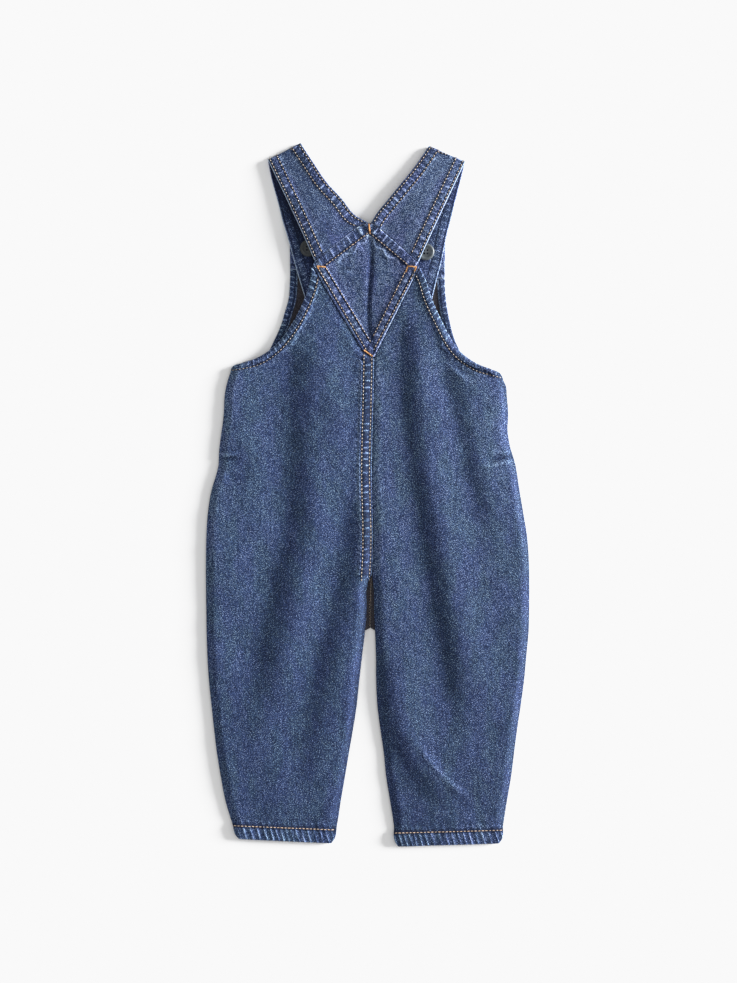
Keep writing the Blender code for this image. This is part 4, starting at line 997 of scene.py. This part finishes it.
def back_panel(hand, seed):
    """A back: leg and body in one. Its height is a blend of its two edges' heights and the loft
    between them, plus the folds, creases, hems and puckers."""
    armhole, yoke_seam, top = ARMHOLE[hand], YOKE[hand], CENTRE_BACK[-1][0]
    outer, inner, up = leg_and_body(
        SIDE[hand], INSEAM[hand], centre_line(CENTRE_BACK, hand), top, BACK_PITCH)
    level = outer[:, 1]
    low = ON_FRONT + HEM_RISE * (1 - ease((up - LEG_HEM) / SEAM_EASE))
    low += HEM_RISE * ease((level - UNDERARM_RISE) / UNDERARM_EASE)
    centre_low = CROTCH_HEIGHT + (CENTRE_HEIGHT - CROTCH_HEIGHT) * ease((level - CROTCH_BACK) / CENTRE_EASE)
    on_leg = inner[:, 1] < CROTCH_BACK - CROTCH_REACH
    arm_rows = int(lengths(armhole)[-1] / (1.25 * BACK_PITCH))
    vee_top = max(row[1] for row in yoke_seam if row[1] < YOKE_CORNER)
    vee = moved_out(seam_at(yoke_seam, np.linspace(yoke_seam[0][1], vee_top, arm_rows)), -hand * GAP)
    outer = np.concatenate([at_height(outer, low), path(armhole, arm_rows)[1:]])
    inner = np.concatenate([at_height(inner, np.where(on_leg, low, centre_low)), vee[1:]])
    low = np.pad(low, (0, arm_rows - 1), constant_values=ON_FRONT_HEM)[:, None]
    up = np.pad(up, (0, arm_rows - 1), "edge")[:, None]
    grid, run, rest, from_outer, from_inner = rows_between(
        outer, inner, ARMHOLE_HEM, CENTRE_FELL, BACK_PITCH * 1.1)
    x, y = grid[..., 0], grid[..., 1]

    by_outer, by_inner = bell(run, SEAM_EASE), bell(rest, SEAM_EASE)
    by_loft = np.clip(1.0 - by_outer - by_inner, 0.0, 1.0)
    loft = np.interp(outer[:, 1], *np.array(LOFT).T)[:, None]
    height = by_outer * outer[:, 2:] + by_inner * inner[:, 2:] + by_loft * loft
    height /= by_outer + by_inner + by_loft
    fold, dye = folds_at(FOLDS[hand], x, y)
    height += (fold + unevenness(x, y, seed)) * (1 - by_outer) * (1 - by_inner)
    crease = creases_at(CREASES[hand], x, y) * (1 - bell(from_outer, 2.0))
    height = np.maximum(height + crease, low)

    s_outer, s_inner = lengths(outer)[:, None], lengths(inner)[:, None]
    from_arm, s_arm, _ = beside(np.array(armhole)[:, :2], x, y, 80)
    from_arm = np.abs(from_arm) + runs_in(s_arm)
    arm = Ribs(s_arm + s_outer[len(level) - 1], from_arm, *ARM_RIBS, seed)
    hem = Ribs(x + HEM_LEAN * y, up, *HEM_RIBS, seed + 1)
    on_arm = ease((outer[:, 1:2] - level[-1]) / 1.5)
    by_hem = up < HEM_REACH
    by_vee = inner[:, 1:2] >= top + 0.5
    in_body = (inner[:, 1:2] > CROTCH_BACK - 1.0) & ~by_vee
    on_hem = band(up, LEG_HEM) * by_hem
    arm_band = on_arm * band(from_outer, ARMHOLE_HEM)
    rise = HEM_RISE * np.maximum(arm_band, on_hem)
    relief = on_arm * (
        0.52 * arm.between(-RUN_OUT, ARMHOLE_ROW) + 0.30 * arm.between(ARMHOLE_ROW - 1, ARMHOLE_ROW + 6)
        - PRESSED * groove(from_arm, ARMHOLE_ROW)
    )
    relief = relief + by_hem * (
        0.45 * hem.between(-RUN_OUT, LEG_HEM) + 0.30 * hem.between(LEG_HEM - 1, LEG_HEM + 6)
        - PRESSED * (groove(up, HEM_ROW) + groove(up, LEG_HEM + 4.0, 3.5))
    )
    first, last = CENTRE_ROWS
    if hand == LEFT:
        rise = np.maximum(rise, HEM_RISE * in_body * band(from_inner, CENTRE_FELL))
        fell = Ribs(s_inner, from_inner, *CENTRE_RIBS, seed).between(first - 0.6, last)
        rows = groove(from_inner, first) + groove(from_inner, last)
        relief += in_body * (0.45 * fell - PRESSED * rows)
    for where, (size, start, end, pitch, slant, along, more) in zip((in_body, by_vee), BESIDE_SEAMS[hand]):
        beyond = Ribs(s_inner + along, from_inner, pitch, slant, seed + more)
        relief += size * where * beyond.between(start, end)

    lower = np.concatenate([grid[..., :2], height[..., None]], -1)
    thick = CLOTH + rise
    turned = rolled(np.minimum(from_outer, from_inner), thick) + rolled(up, thick)
    upper = lower + UP * (thick + relief - turned)[..., None]
    edge_ribs = Ribs(s_outer, 0 * run, ARM_RIBS[0], 0.0, seed).between(-9, 9)
    scallop = 0.55 * on_arm * np.exp(-from_outer / 2.5) * edge_ribs
    upper[..., :2] += unit(outer[:, None, :2] - inner[:, None, :2]) * scallop[..., None]
    cloth = Cloth(lower, upper)
    cloth.worn_and_shaded_by(relief + rise * 0.2)
    # Raised creases paler and low ones darker, partly wear and partly painted highlight and shade; the folds'
    # steep banks darker, partly dye and partly painted shade; and the legs darker downwards.
    cloth.wear += 0.30 * crease - FOLD_BANK_SHADE * dye - LEGS_DARKEN * ease((DARKEN_FROM - y) / DARKEN_OVER)
    turned_down = bell(run - 6.0, 3.5)  # the cloth that bends down to the side seam
    # Painted light and shade against the low key from the right. Left back: painted light on the side edge,
    # where the cloth turns down away from the key, and on the armhole hem; painted shade along the inner
    # edge, which faces the key, deeper down the leg gap below the crotch.
    if hand == LEFT:
        painted_light_and_shade = turned_down * (0.06 + 0.20 * ease((y + 80.0) / 60.0)) + 0.10 * by_outer
        painted_light_and_shade -= 0.12 * by_inner + 0.20 * bell(rest, 8.0) * ease((CROTCH_BACK - y) / 20.0)
        cloth.wear += painted_light_and_shade * (1 - on_arm) + 0.08 * arm_band
        cloth.wear += in_body * (0.8 * EDGE_WEAR * edge_line(from_inner) - 0.30 * band(from_inner, last))
        # Painted light on the slope beside the centre seam's band, which faces away from the key.
        cloth.wear += 0.36 * in_body * groove(from_inner, CENTRE_FELL + 1.2, 1.5)
    else:
        # Right back: painted light beside the centre seam, where the cloth slopes away from the key; painted
        # shade at the side edge and on the armhole hem, which face the key, and down the lower inner leg
        # beside the leg gap.
        painted_light_and_shade = in_body * (0.12 * by_inner + 0.18 * bell(from_inner - 4.0, 3.0))
        painted_light_and_shade -= 0.14 * by_outer + 0.10 * turned_down
        cloth.wear += painted_light_and_shade * (1 - on_arm) - 0.15 * arm_band
        cloth.wear -= 0.12 * bell(from_inner, 45.0) * ease((-225.0 - y) / 45.0)
        for patch_x, patch_y, wide, long, wear in PALE_RIGHT:
            cloth.wear += wear * bell(x - patch_x, wide) * bell(y - patch_y, long)
    loop = LEG_HEM + 3.8 + 0.9 * np.sin(hem.along / 2.1 + seed) + 0.7 * np.sin(hem.along / 5.3)
    cloth.wear += 0.18 * on_hem
    # A pale wandering line of worn puckers above the hem, and a painted shadow just above the hem band.
    cloth.wear += by_hem * (0.20 * groove(up, loop, 0.9) - 0.30 * groove(up, LEG_HEM + 1.2, 0.9))
    cloth.wear += EDGE_WEAR * (0.5 * on_arm * edge_line(from_outer) + 0.3 * edge_line(up))
    cloth.seam(on_arm > 0.5, arm, -4.0, ARMHOLE_ROW, 0.9)
    cloth.seam(by_hem, hem, -3.0, HEM_ROW, 0.9 - 0.45 * ease((up - LEG_HEM) / 3.0))
    if hand == LEFT:
        leaning = s_inner + CENTRE_LEAN * np.maximum(from_inner - last, 0.0)
        cloth.seam(in_body, Ribs(leaning, from_inner, *CENTRE_RIBS, seed), first, last, 1.2)
    return cloth


def front_panel(hand):
    """A front, flat on the surface, its inner face up. Its outer face, turned down, is plain."""
    centre = centre_line(CENTRE_FRONT, hand)
    side = [(y, x - hand * FRONT_INSET) for y, x in SIDE[hand]]
    inseam = [(y, x + hand * FRONT_INSET) for y, x in INSEAM[hand] if y < CROTCH_FRONT - GAP]
    outer, inner, up = leg_and_body(
        side, [*inseam, centre[0]], centre, side[-1][0] + FRONT_TOP_LEAN, FRONT_PITCH)
    body_rows, bib_rows = len(outer), int(lengths(BIB[hand])[-1] / 1.6)
    centre_y = inner[-1, 1] + np.linspace(0, 1, bib_rows)[1:] * (CENTRE_FRONT[-1][0] - inner[-1, 1])
    outer = np.concatenate([outer, path(BIB[hand], bib_rows)[1:]])
    inner = np.concatenate([inner, edge_at(centre, centre_y)])
    up = np.pad(up, (0, bib_rows - 1), "edge")[:, None]
    grid, _, _, from_outer, _ = rows_between(
        at_height(outer, 0.0), at_height(inner, 0.0), FRONT_HEM, FRONT_HEM, FRONT_PITCH)
    on_bib = (np.arange(len(outer)) >= body_rows)[:, None]
    below_facing = 1 - ease((outer[:, 1:] - FACING_LOWER[hand] + HEM_ENDS_UNDER) / 6.0)
    hem = np.maximum(on_bib * band(from_outer, FRONT_HEM), band(up, LEG_HEM) * (up < HEM_REACH))
    ribs = Ribs(lengths(outer)[:, None], from_outer, *BIB_RIBS, hand)
    relief = 0.3 * on_bib * below_facing * ribs.between(-1.0, FRONT_HEM)
    rise = HEM_RISE * hem * np.where(on_bib, below_facing, 1.0)
    cloth = Cloth(grid, grid + UP * (CLOTH + rise + relief - rolled(from_outer, CLOTH))[..., None])
    # Off the hems, the inner face shows the reverse, coloured dark as painted shade.
    cloth.inside = 1.0 - hem
    cloth.wear += EDGE_WEAR * on_bib * (0.8 * edge_line(from_outer - FRONT_HEM) + 0.3 * edge_line(from_outer))
    cloth.seam(on_bib, ribs, -3.0, FRONT_HEM - 1.0)
    cloth.worn_and_shaded_by(relief)
    return cloth


def facing_strip():
    """The strip inside the top of the bib, as wide as the bib, flat."""
    edges = []
    for hand in (LEFT, RIGHT):
        upright = [(y, x) for x, y in BIB[hand] if y > BIB_UPRIGHT]
        levels = np.linspace(FACING_LOWER[hand], FACING_UPPER, FACING_ROWS)
        edges.append(at_height(edge_at(upright, levels) - (hand * GAP, 0.0), ON_FRONT))
    grid, run, *_ = rows_between(*edges, FACING_BAND, FACING_BAND, 3.0)
    up = np.linspace(0.0, FACING_UPPER - FACING_LOWER[LEFT], FACING_ROWS)[:, None] + 0 * run
    aside = np.minimum(run, run[:, ::-1])
    ribs = Ribs(run, up, *FACING_RIBS, 1.0)
    turned = rolled(np.minimum(up, aside), FACING_CLOTH)
    cloth = Cloth(grid, grid + UP * (FACING_CLOTH - turned + 0.2 * ribs.between(-1.0, 6.0))[..., None])
    cloth.wear += EDGE_WEAR * (1.4 * edge_line(up) + 0.3 * edge_line(aside))
    cloth.seam(True, ribs, -3.0, 4.0)
    return cloth


def yoke_panel():
    """The kite between the backs and the straps, felled on all four sides, its middle sagging."""
    bottom, top = YOKE_LEVELS
    corners = [row[1] for row in YOKE[LEFT] + YOKE[RIGHT] if bottom <= row[1] <= top]
    levels = np.unique(np.concatenate([np.linspace(bottom, top, 170), corners]))
    outer, inner = seam_at(YOKE[LEFT], levels), seam_at(YOKE[RIGHT], levels)
    grid, run, *_ = rows_between(outer, inner, YOKE_FELL, YOKE_FELL, 0.9)
    x, y = grid[..., 0], grid[..., 1]
    length = widths(outer, inner)
    share = run / length
    crease = np.array(YOKE_CREASE)
    middle, depth = curve(crease[:, :2], y), curve(crease[:, [0, 2]], y)
    furrow = depth * bell(x - middle, np.where(x < middle, 3.0, 1.3))
    grid[..., 2] -= YOKE_SAG * ease(length / YOKE_FULL) * 4 * share * (1 - share) + furrow
    sides = []
    for hand, start, end, first, last, seed in YOKE_SIDES:
        off, along = beside_line(YOKE[hand][start], YOKE[hand][end], x, y)
        sides.append((Ribs(along, -hand * off, *YOKE_RIBS, seed), first, last, seed))
    vee_left, vee_right, top_left, top_right = (ribs.distance for ribs, *_ in sides)
    vee, top = np.minimum(vee_left, vee_right), np.minimum(top_left, top_right)
    rise = HEM_RISE * np.maximum(band(vee, YOKE_FELL), band(top, YOKE_FELL - 0.6))
    relief = creases_at(YOKE_CREASES, x, y) + 0.35 * unevenness(x, y, 2.2)
    wear = EDGE_WEAR * (0.8 * edge_line(vee_right) + 0.15 * edge_line(vee_left))
    for ribs, first, last, seed in sides:
        gap, along = ribs.distance, ribs.along
        relief += 0.45 * ribs.between(max(first, 0.6), last)
        relief -= PRESSED * (groove(gap, first) + groove(gap, last))
        if first < 0:
            loop = last + 4.0 + 1.6 * np.sin(along / 2.3 + seed) + 1.2 * np.sin(along / 5.1 + 2 * seed)
            ridge = bell(gap - loop, 1.1) * ease((along - 8.0) / 8.0)
            gathers = Ribs(along, gap, 7.0, 0.3, seed + 1).between(last - 0.3, last + 9.0)
            relief += 0.45 * ridge + 0.35 * gathers
            wear += 0.40 * ridge + EDGE_WEAR * 0.75 * edge_line(gap)
    thick = CLOTH + rise
    turned = rolled(np.minimum(np.abs(vee), np.abs(top)), thick)
    cloth = Cloth(grid, grid + UP * (thick + relief - turned)[..., None])
    cloth.worn_and_shaded_by(relief + 0.2 * rise)
    # Painted shade down the yoke's middle crease; right of the crease the yoke is lighter.
    cloth.wear += wear - 0.16 * furrow + 0.09 * ease((x - middle - 2.0) / 10.0)
    for ribs, first, last, _ in sides:
        cloth.seam(True, ribs, first, last)
    return cloth


def strap_length(table):
    """How far along the middle of a part of a strap each of its rows lies."""
    rows = np.array(table)
    return lengths((rows[:, :2] + rows[:, 2:4]) / 2)


def strap_edges(table, at):
    """Outer and inner edge points, with heights, at these distances along a part of a strap."""
    length = strap_length(table)
    plan = [curve(np.stack([length, column], 1), at) for column in np.array(table)[:, :4].T]
    heights = [np.interp(at, length, column) for column in np.array(table)[:, 4:].T]
    return np.stack([*plan[:2], heights[0]], 1), np.stack([*plan[2:], heights[1]], 1)


def slit_place(front, place):
    """Where the button sits on the front part: how far along it, and how far in from its edge."""
    at = np.linspace(0.0, strap_length(front)[-1], PLACES_TRIED)
    outer, inner = strap_edges(front, at)
    nearest = np.argmin(np.linalg.norm((outer[:, :2] + inner[:, :2]) / 2 - place, axis=1))
    return at[nearest], np.linalg.norm(outer[nearest, :2] - place)


def strap_piece(hand, seed):
    """A strap: its back part from the yoke, half a circle over the shoulder, and its front part
    with the buttonhole. Returns the cloth, its points' distances from both long edges, the cells
    kept, and the row where it turns down over the shoulder."""
    back, front = STRAP_BACK[hand], STRAP_FRONT[hand]
    button_at, button_in = slit_place(front, BUTTON[hand])
    back_length, front_length = strap_length(back)[-1], strap_length(front)[-1]
    back_at = np.linspace(0.0, back_length, int(back_length / STRAP_PITCH))
    slit_from, slit_to = button_at - SLIT_LENGTH / 2, button_at + SLIT_LENGTH / 2
    before, within = np.linspace(0.0, slit_from, 40), np.linspace(slit_from, slit_to, 17)
    front_at = np.concatenate([before, within[1:], np.linspace(slit_to, front_length, 42)[1:]])
    backs_edges, fronts_edges = strap_edges(back, back_at), strap_edges(front, front_at)
    fold = unit(backs_edges[1][-1, :2] - backs_edges[0][-1, :2])
    away = np.array([-fold[1], fold[0]]) * np.sign(fold[0])
    for on_back, on_front in zip(backs_edges, fronts_edges):
        on_back[-1, :2] -= away * FOLD_RADIUS
        on_front[0, :2] = on_back[-1, :2]

    def whole(on_back, on_front):
        """Rows of the back part, its last one repeated round the turn, and rows of the front part."""
        return np.concatenate([on_back, np.repeat(on_back[-1:], FOLD_TURNS - 1, 0), on_front])

    runs = [columns_between(*edges, STRAP_HEM, STRAP_HEM, 1.3) for edges in (backs_edges, fronts_edges)]
    widest = max(run.shape[1] for run in runs)
    close = len(close_columns(STRAP_HEM))

    def with_columns(run):
        """The same run with as many columns between its bands as the wider part has."""
        share = np.linspace(0, 1, widest - 2 * close + 2)[1:-1]
        first, last = run[:, close - 1:close], run[:, -close:run.shape[1] - close + 1]
        return np.concatenate([run[:, :close], first + (last - first) * share, run[:, -close:]], 1)

    back_run, front_run = map(with_columns, runs)
    backs, fronts = len(back_run), len(front_run)
    slit = int((front_run[len(before) + 8] < button_in).sum())
    from_button = front_at - button_at
    open_by = np.clip(1 - (from_button / (SLIT_LENGTH / 2)) ** 2, 0.0, 1.0)
    half = 0.12 + (SLIT_WIDTH / 2 - 0.12) * np.sqrt(open_by)[:, None]
    step = np.arange(widest)[None]
    spacing = (step - slit + (step < slit)) * LIP_PITCH
    lip = button_in + np.where(step < slit, -half, half) + spacing
    target = np.where(np.abs(spacing) < 4, lip, front_run)
    pull = bell(from_button, SLIT_LENGTH)[:, None] * np.clip(1.4 - np.abs(spacing) / 3.0, 0.0, 1.0)
    pull = pull * ((step >= close) & (step < widest - close))
    front_run = np.maximum.accumulate(front_run * (1 - pull) + target * pull + step * 1e-4, axis=1)

    outer, inner = (whole(*edges) for edges in zip(backs_edges, fronts_edges))
    run = whole(back_run, front_run)
    turn = np.linspace(math.pi / 2, -math.pi / 2, FOLD_TURNS + 1)
    angle = np.pad(turn, (backs - 1, fronts - 1), "edge")[:, None]
    on_back = np.arange(len(angle)) < backs
    on_front = np.arange(len(angle)) >= len(angle) - fronts
    base = spread(outer, inner, run)
    length = widths(outer, inner)
    slope = ease((run / length - TILT_FROM) / (1 - TILT_FROM))
    height = outer[:, 2:] * (1 - slope) + inner[:, 2:] * slope
    seam = [row for row in YOKE[hand] if row[1] > YOKE_CORNER]
    end = moved_out(polyline(seam, run[0] / length[0]), -hand * SEAM_GAP)
    from_end = np.pad(back_at, (0, len(angle) - backs), "edge")[:, None]
    nearness = np.clip(1 - from_end / END_REACH, 0, 1)
    base[..., :2] += nearness[..., None] * (end[:, :2] - base[0, :, :2])
    height += nearness * (end[:, 2] - height[0])

    square = [whole(sine_to(*backs_edges), sine_to(*fronts_edges)),
              whole(sine_to(*backs_edges[::-1]), sine_to(*fronts_edges[::-1]))]
    from_outer, from_inner = run * square[0], (length - run) * square[1]
    aside = np.minimum(from_outer, from_inner)
    turned = math.pi * FOLD_RADIUS
    over = turned * np.arange(1, FOLD_TURNS) / FOLD_TURNS
    along = np.concatenate([back_at, back_at[-1] + over, back_at[-1] + turned + front_at])[:, None]
    seen = (1 + np.sin(angle)) / 2
    rise = STRAP_RISE * band(aside, STRAP_HEM)
    hems = [Ribs(along, from_outer, *STRAP_RIBS, seed), Ribs(along, from_inner, *STRAP_RIBS, seed + 1.7)]
    relief = 0.40 * sum(ribs.between(1.8, 9.0) for ribs in hems)
    relief -= 0.28 * sum(groove(aside, row) for row in STRAP_ROWS)
    relief += 0.30 * unevenness(base[..., 0], base[..., 1], seed) * ease(aside / 8.0)
    fades = np.clip(from_end / 5.0, 0.0, 1.0) * np.clip(np.abs(angle) * 2, 0.3, 1.0)
    relief = relief * fades
    swell = 0.5 * ease(aside / 12.0) * np.sin(along / 17.0 + seed) * fades

    lining, skin = base.copy(), base.copy()
    bulge = (rise + 0.5 * relief) * seen
    for face, radius in ((lining, FOLD_RADIUS - STRAP_CLOTH), (skin, FOLD_RADIUS + bulge)):
        face[..., :2] += away * (radius * np.cos(angle))[..., None]
        face[..., 2] = FOLD_RADIUS + radius * np.sin(angle)
    edge_drop = rolled(aside, STRAP_CLOTH)
    lining[on_back, :, 2] = (height + swell)[on_back]
    skin[on_back, :, 2] = (height + STRAP_CLOTH + rise + relief + swell - edge_drop)[on_back]
    lining[on_front, :, 2] = (height + STRAP_CLOTH + 0.6 * relief - edge_drop)[on_front]
    skin[on_front, :, 2] = height[on_front]
    cloth = Cloth(lining, skin, np.stack([run - length / 2, along + 0 * run], -1))
    cloth.lining = 0.0
    cloth.worn_and_shaded_by(relief + 0.2 * rise)
    # Edge wear on both straps; the left strap's outer edge, which faces away from the key, is painted lighter
    # as well.
    edge_wear_and_light = 1.5 if hand == LEFT else 0.8
    cloth.wear += EDGE_WEAR * (edge_wear_and_light * edge_line(from_outer) + 0.25 * edge_line(from_inner))
    # Painted shade on the front part, deepest beside the back part's edge; the left strap takes all of it,
    # the right a quarter.
    beyond, _ = beside_line(back[0], back[-1], base[..., 0], base[..., 1])
    shaded = STRAP_PAINTED_SHADE[0] + (STRAP_PAINTED_SHADE[1] - STRAP_PAINTED_SHADE[0]) * bell(beyond, 6.0)
    cloth.wear -= shaded * on_front[:, None] * (1.0 if hand == LEFT else 0.25)
    # The right strap's back part is lighter and the left's darker, most near the yoke.
    cloth.wear += (0.09 if hand == RIGHT else -0.05 - 0.08 * (1 - ease(from_end / 50.0))) * seen
    for ribs in hems:
        cloth.seam(True, ribs, *STRAP_ROWS, np.where(on_front, 0.45, 1.0)[:, None])
    kept = np.ones((len(angle) - 1, run.shape[1] - 1), bool)
    first = len(angle) - fronts + len(before) - 1
    kept[first:first + len(within) - 1, slit - 1] = False
    return cloth, from_outer, from_inner, kept, backs + FOLD_TURNS // 2


def circle(radius, sides):
    """Points round the origin."""
    angle = np.arange(sides) * 2 * math.pi / sides
    return radius * np.stack([np.cos(angle), np.sin(angle)], 1)


def button(name, place, finish, hole_shade_finish):
    """A four-hole button turned from its profile, with a raised rim and a dished middle, drilled,
    on its thread shank. The walls of its holes take a darker resin, as painted shade."""
    profile = np.array(BUTTON_PROFILE)
    rings = [at_height(circle(radius, BUTTON_SIDES), height) for radius, height in profile[1:-1]]
    middle = [(0.0, 0.0, profile[0, 1]), (0.0, 0.0, profile[-1, 1])]
    points = np.concatenate([*rings, middle]) + (*place, BUTTON_BOTTOM)
    index = np.arange(len(rings) * BUTTON_SIDES).reshape(len(rings), BUTTON_SIDES)
    after = np.roll(index, -1, 1)
    faces = np.stack([index[:-1], index[1:], after[1:], after[:-1]], -1).reshape(-1, 4).tolist()
    faces += [(index.size, a, b) for a, b in zip(index[0], after[0])]
    faces += [(index.size + 1, b, a) for a, b in zip(index[-1], after[-1])]
    mesh = bpy.data.meshes.new(name)
    mesh.from_pydata((points * MM).tolist(), [], faces)
    made = placed(name, mesh)
    centres = place + BUTTON_HOLE_AT * math.sqrt(0.5) * np.array(((1, 1), (-1, 1), (-1, -1), (1, -1)))
    drill_points, drill_faces = [], []
    for centre in centres:
        low = len(drill_points) * HOLE_SIDES + np.arange(HOLE_SIDES)
        high = low + HOLE_SIDES
        for height in (BUTTON_BOTTOM - 0.4, BUTTON_BOTTOM + 3.0):
            drill_points.append(at_height(circle(BUTTON_HOLE, HOLE_SIDES) + centre, height))
        drill_faces += np.stack([low, np.roll(low, -1), np.roll(high, -1), high], 1).tolist()
        drill_faces += [low[::-1].tolist(), high.tolist()]
    drill = bpy.data.meshes.new(name + "_drill")
    drill.from_pydata((np.concatenate(drill_points) * MM).tolist(), [], drill_faces)
    cutter = placed(name + "_drill", drill)
    holes = made.modifiers.new("holes", "BOOLEAN")
    holes.operation = "DIFFERENCE"
    holes.object = cutter
    drilled = bpy.data.meshes.new_from_object(made.evaluated_get(bpy.context.evaluated_depsgraph_get()))
    made.modifiers.clear()
    made.data = drilled
    bpy.data.objects.remove(cutter)
    drilled.materials.clear()
    drilled.materials.append(finish)
    drilled.materials.append(hole_shade_finish)
    for face in drilled.polygons:
        middle = np.mean([drilled.vertices[corner].co[:2] for corner in face.vertices], axis=0) / MM
        reach = np.linalg.norm(middle - centres, axis=1).min()
        face.material_index = int(reach < BUTTON_HOLE + 0.01)
    drilled.shade_smooth()
    drilled.set_sharp_from_angle(angle=math.radians(35))
    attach(made, "root")
    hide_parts(name)


def set_stage():
    """A white paper floor, a low soft key from the right, and an even pale surround."""
    mesh = bpy.data.meshes.new("floor")
    corners = [(x * FLOOR_HALF, y * FLOOR_HALF, 0.0) for x, y in ((-1, -1), (1, -1), (1, 1), (-1, 1))]
    mesh.from_pydata(corners, [], [(0, 1, 2, 3)])
    mesh.materials.append(floor_finish())
    placed("floor", mesh)

    key = bpy.data.lights.new("key", "SUN")
    key.energy = KEY_LIGHT
    key.angle = math.radians(KEY_SIZE)
    placed("key", key).rotation_euler = (0.0, math.radians(90.0 - KEY_ELEVATION), math.radians(KEY_AZIMUTH))

    scene = bpy.context.scene
    scene.world = bpy.data.worlds.new("surround")
    scene.world.use_nodes = True
    nodes, links = scene.world.node_tree.nodes, scene.world.node_tree.links
    mix = nodes.new("ShaderNodeMixShader")
    links.new(nodes.new("ShaderNodeLightPath").outputs["Is Camera Ray"], mix.inputs[0])
    for place, light, colour, strength in (
        (1, nodes["Background"], (1.0, 1.0, 1.0, 1.0), FILL_LIGHT),
        (2, nodes.new("ShaderNodeBackground"), (0.94, 0.94, 0.945, 1.0), 1.0),
    ):
        light.inputs["Color"].default_value = colour
        light.inputs["Strength"].default_value = strength
        links.new(light.outputs[0], mix.inputs[place])
    links.new(mix.outputs[0], nodes["World Output"].inputs["Surface"])

    view = bpy.data.cameras.new("camera")
    view.lens = LENS
    scene.camera = placed("camera", view)
    scene.camera.location = CAMERA
    settings = scene.view_settings
    settings.view_transform = "Standard"
    settings.use_curve_mapping = True
    tones = settings.curve_mapping
    tones.white_level = (BRIGHTEST, BRIGHTEST, BRIGHTEST)
    tones.extend = "HORIZONTAL"
    points = tones.curves[3].points
    points[0].location = (0.0, 0.0)
    points[1].location = (1.0, TONES[-1][1])
    for light, shown in TONES[:-1]:
        points.new(light / BRIGHTEST, shown)
    tones.update()


# ---------------------------------------------------------------------------------- put together

def sew_backs(backs, yoke, thread):
    """The stitching that shows on the backs and the yoke."""
    threads = Threads()
    for hand, back in backs.items():
        edge = path(ARMHOLE[hand], 200)
        line = moved_out(edge, hand * (ARMHOLE_ROW - runs_in(lengths(edge))))[14:-7]
        lead = unit(line[0] - line[3]) * np.linspace(6.6, 0.6, 10)[:, None]
        threads.row(*back.drop(np.concatenate([line[0] + lead, line])))
    for inset, top in zip(CENTRE_ROWS, (122.0, 126.0)):
        line = edge_at(CENTRE_BACK, np.linspace(CROTCH_BACK - 6.0, top, 260)) - (inset, 0.0)
        threads.row(*backs[LEFT].drop(line), shade=0.05)
    for hand, back in backs.items():
        ends = [edge_at(table, np.array([table[0][0] + HEM_ROW]))[0] for table in (SIDE[hand], INSEAM[hand])]
        threads.row(*back.drop(polyline(ends, np.linspace(0.006, 0.994, 120))), shade=ORANGE)
    for ends in YOKE_ROWS:
        threads.row(*yoke.drop(polyline(ends, np.linspace(0, 1, 120))), shade=0.12)
    for ends in BAR_TACKS:
        threads.row(*yoke.drop(polyline(ends, np.linspace(0, 1, 40))), TACK, TACK_STITCH, math.pi / 2)
    threads.build("stitches_back", thread, 11)


def sew_front(thread):
    """The zigzag over the centre front seam, where it shows below the backs' crotch."""
    threads = Threads()
    up = np.arange(0.0, CROTCH_BACK - CROTCH_FRONT + 6.0, 1.3)
    sway = 1.5 * (np.arange(len(up)) % 2) - 0.4
    line = at_height(edge_at(CENTRE_FRONT, CROTCH_FRONT + 1.5 + up) - np.outer(sway, (1, 0)), CLOTH + 0.1)
    threads.row(line, np.tile(UP, (len(up), 1)), 0.1, INNER_STITCH)
    threads.build("stitches_front", thread, 17)


def main():
    set_stage()
    left = denim("denim_body", -0.035, 0.22, (0.93, 1.025, 1.11), 0.0)
    right = denim("denim_body_right", -0.01, 0.22, (0.95, 1.02, 1.10), 3.1)
    top = denim("denim_top", 0.03, 0.5, (0.985, 0.985, 1.12), 5.7)
    thread = thread_finish()
    # The walls of the buttons' holes take this darker resin, as painted shade.
    hole = resin_finish("button_hole_painted_shade", 0.12)
    halves = (
        # The left button's resin is darkened to a third as painted shade: it lies in the shade of the back
        # strap.
        (LEFT, "left", left, 0.7, 0.4, resin_finish("button_resin_painted_shade", 0.32)),
        (RIGHT, "right", right, 2.6, 3.3, resin_finish("button_resin", 1.0)),
    )
    for hand, name, finish, *_ in halves:
        front_panel(hand).build(f"front_{name}", finish)
    facing_strip().build("bib_facing", top)
    backs = {}
    for hand, name, finish, seed, *_ in halves:
        backs[hand] = back_panel(hand, seed)
        backs[hand].build(f"back_{name}", finish)
    yoke = yoke_panel()
    yoke.build("back_yoke", top)
    sew_backs(backs, yoke, thread)
    sew_front(thread)
    for hand, name, _, _, seed, resin in halves:
        cloth, from_outer, from_inner, kept, crest = strap_piece(hand, seed)
        cloth.build(f"strap_{name}", top, kept)
        sewing = Threads()
        for run in (from_outer, from_inner):
            for inset in STRAP_ROWS:
                sewing.row(*cloth.along(inset, run, slice(2, crest)))
        sewing.build(f"stitches_strap_{name}", thread, 21 + hand)
        button(f"button_{name}", BUTTON[hand], resin, hole)


main()
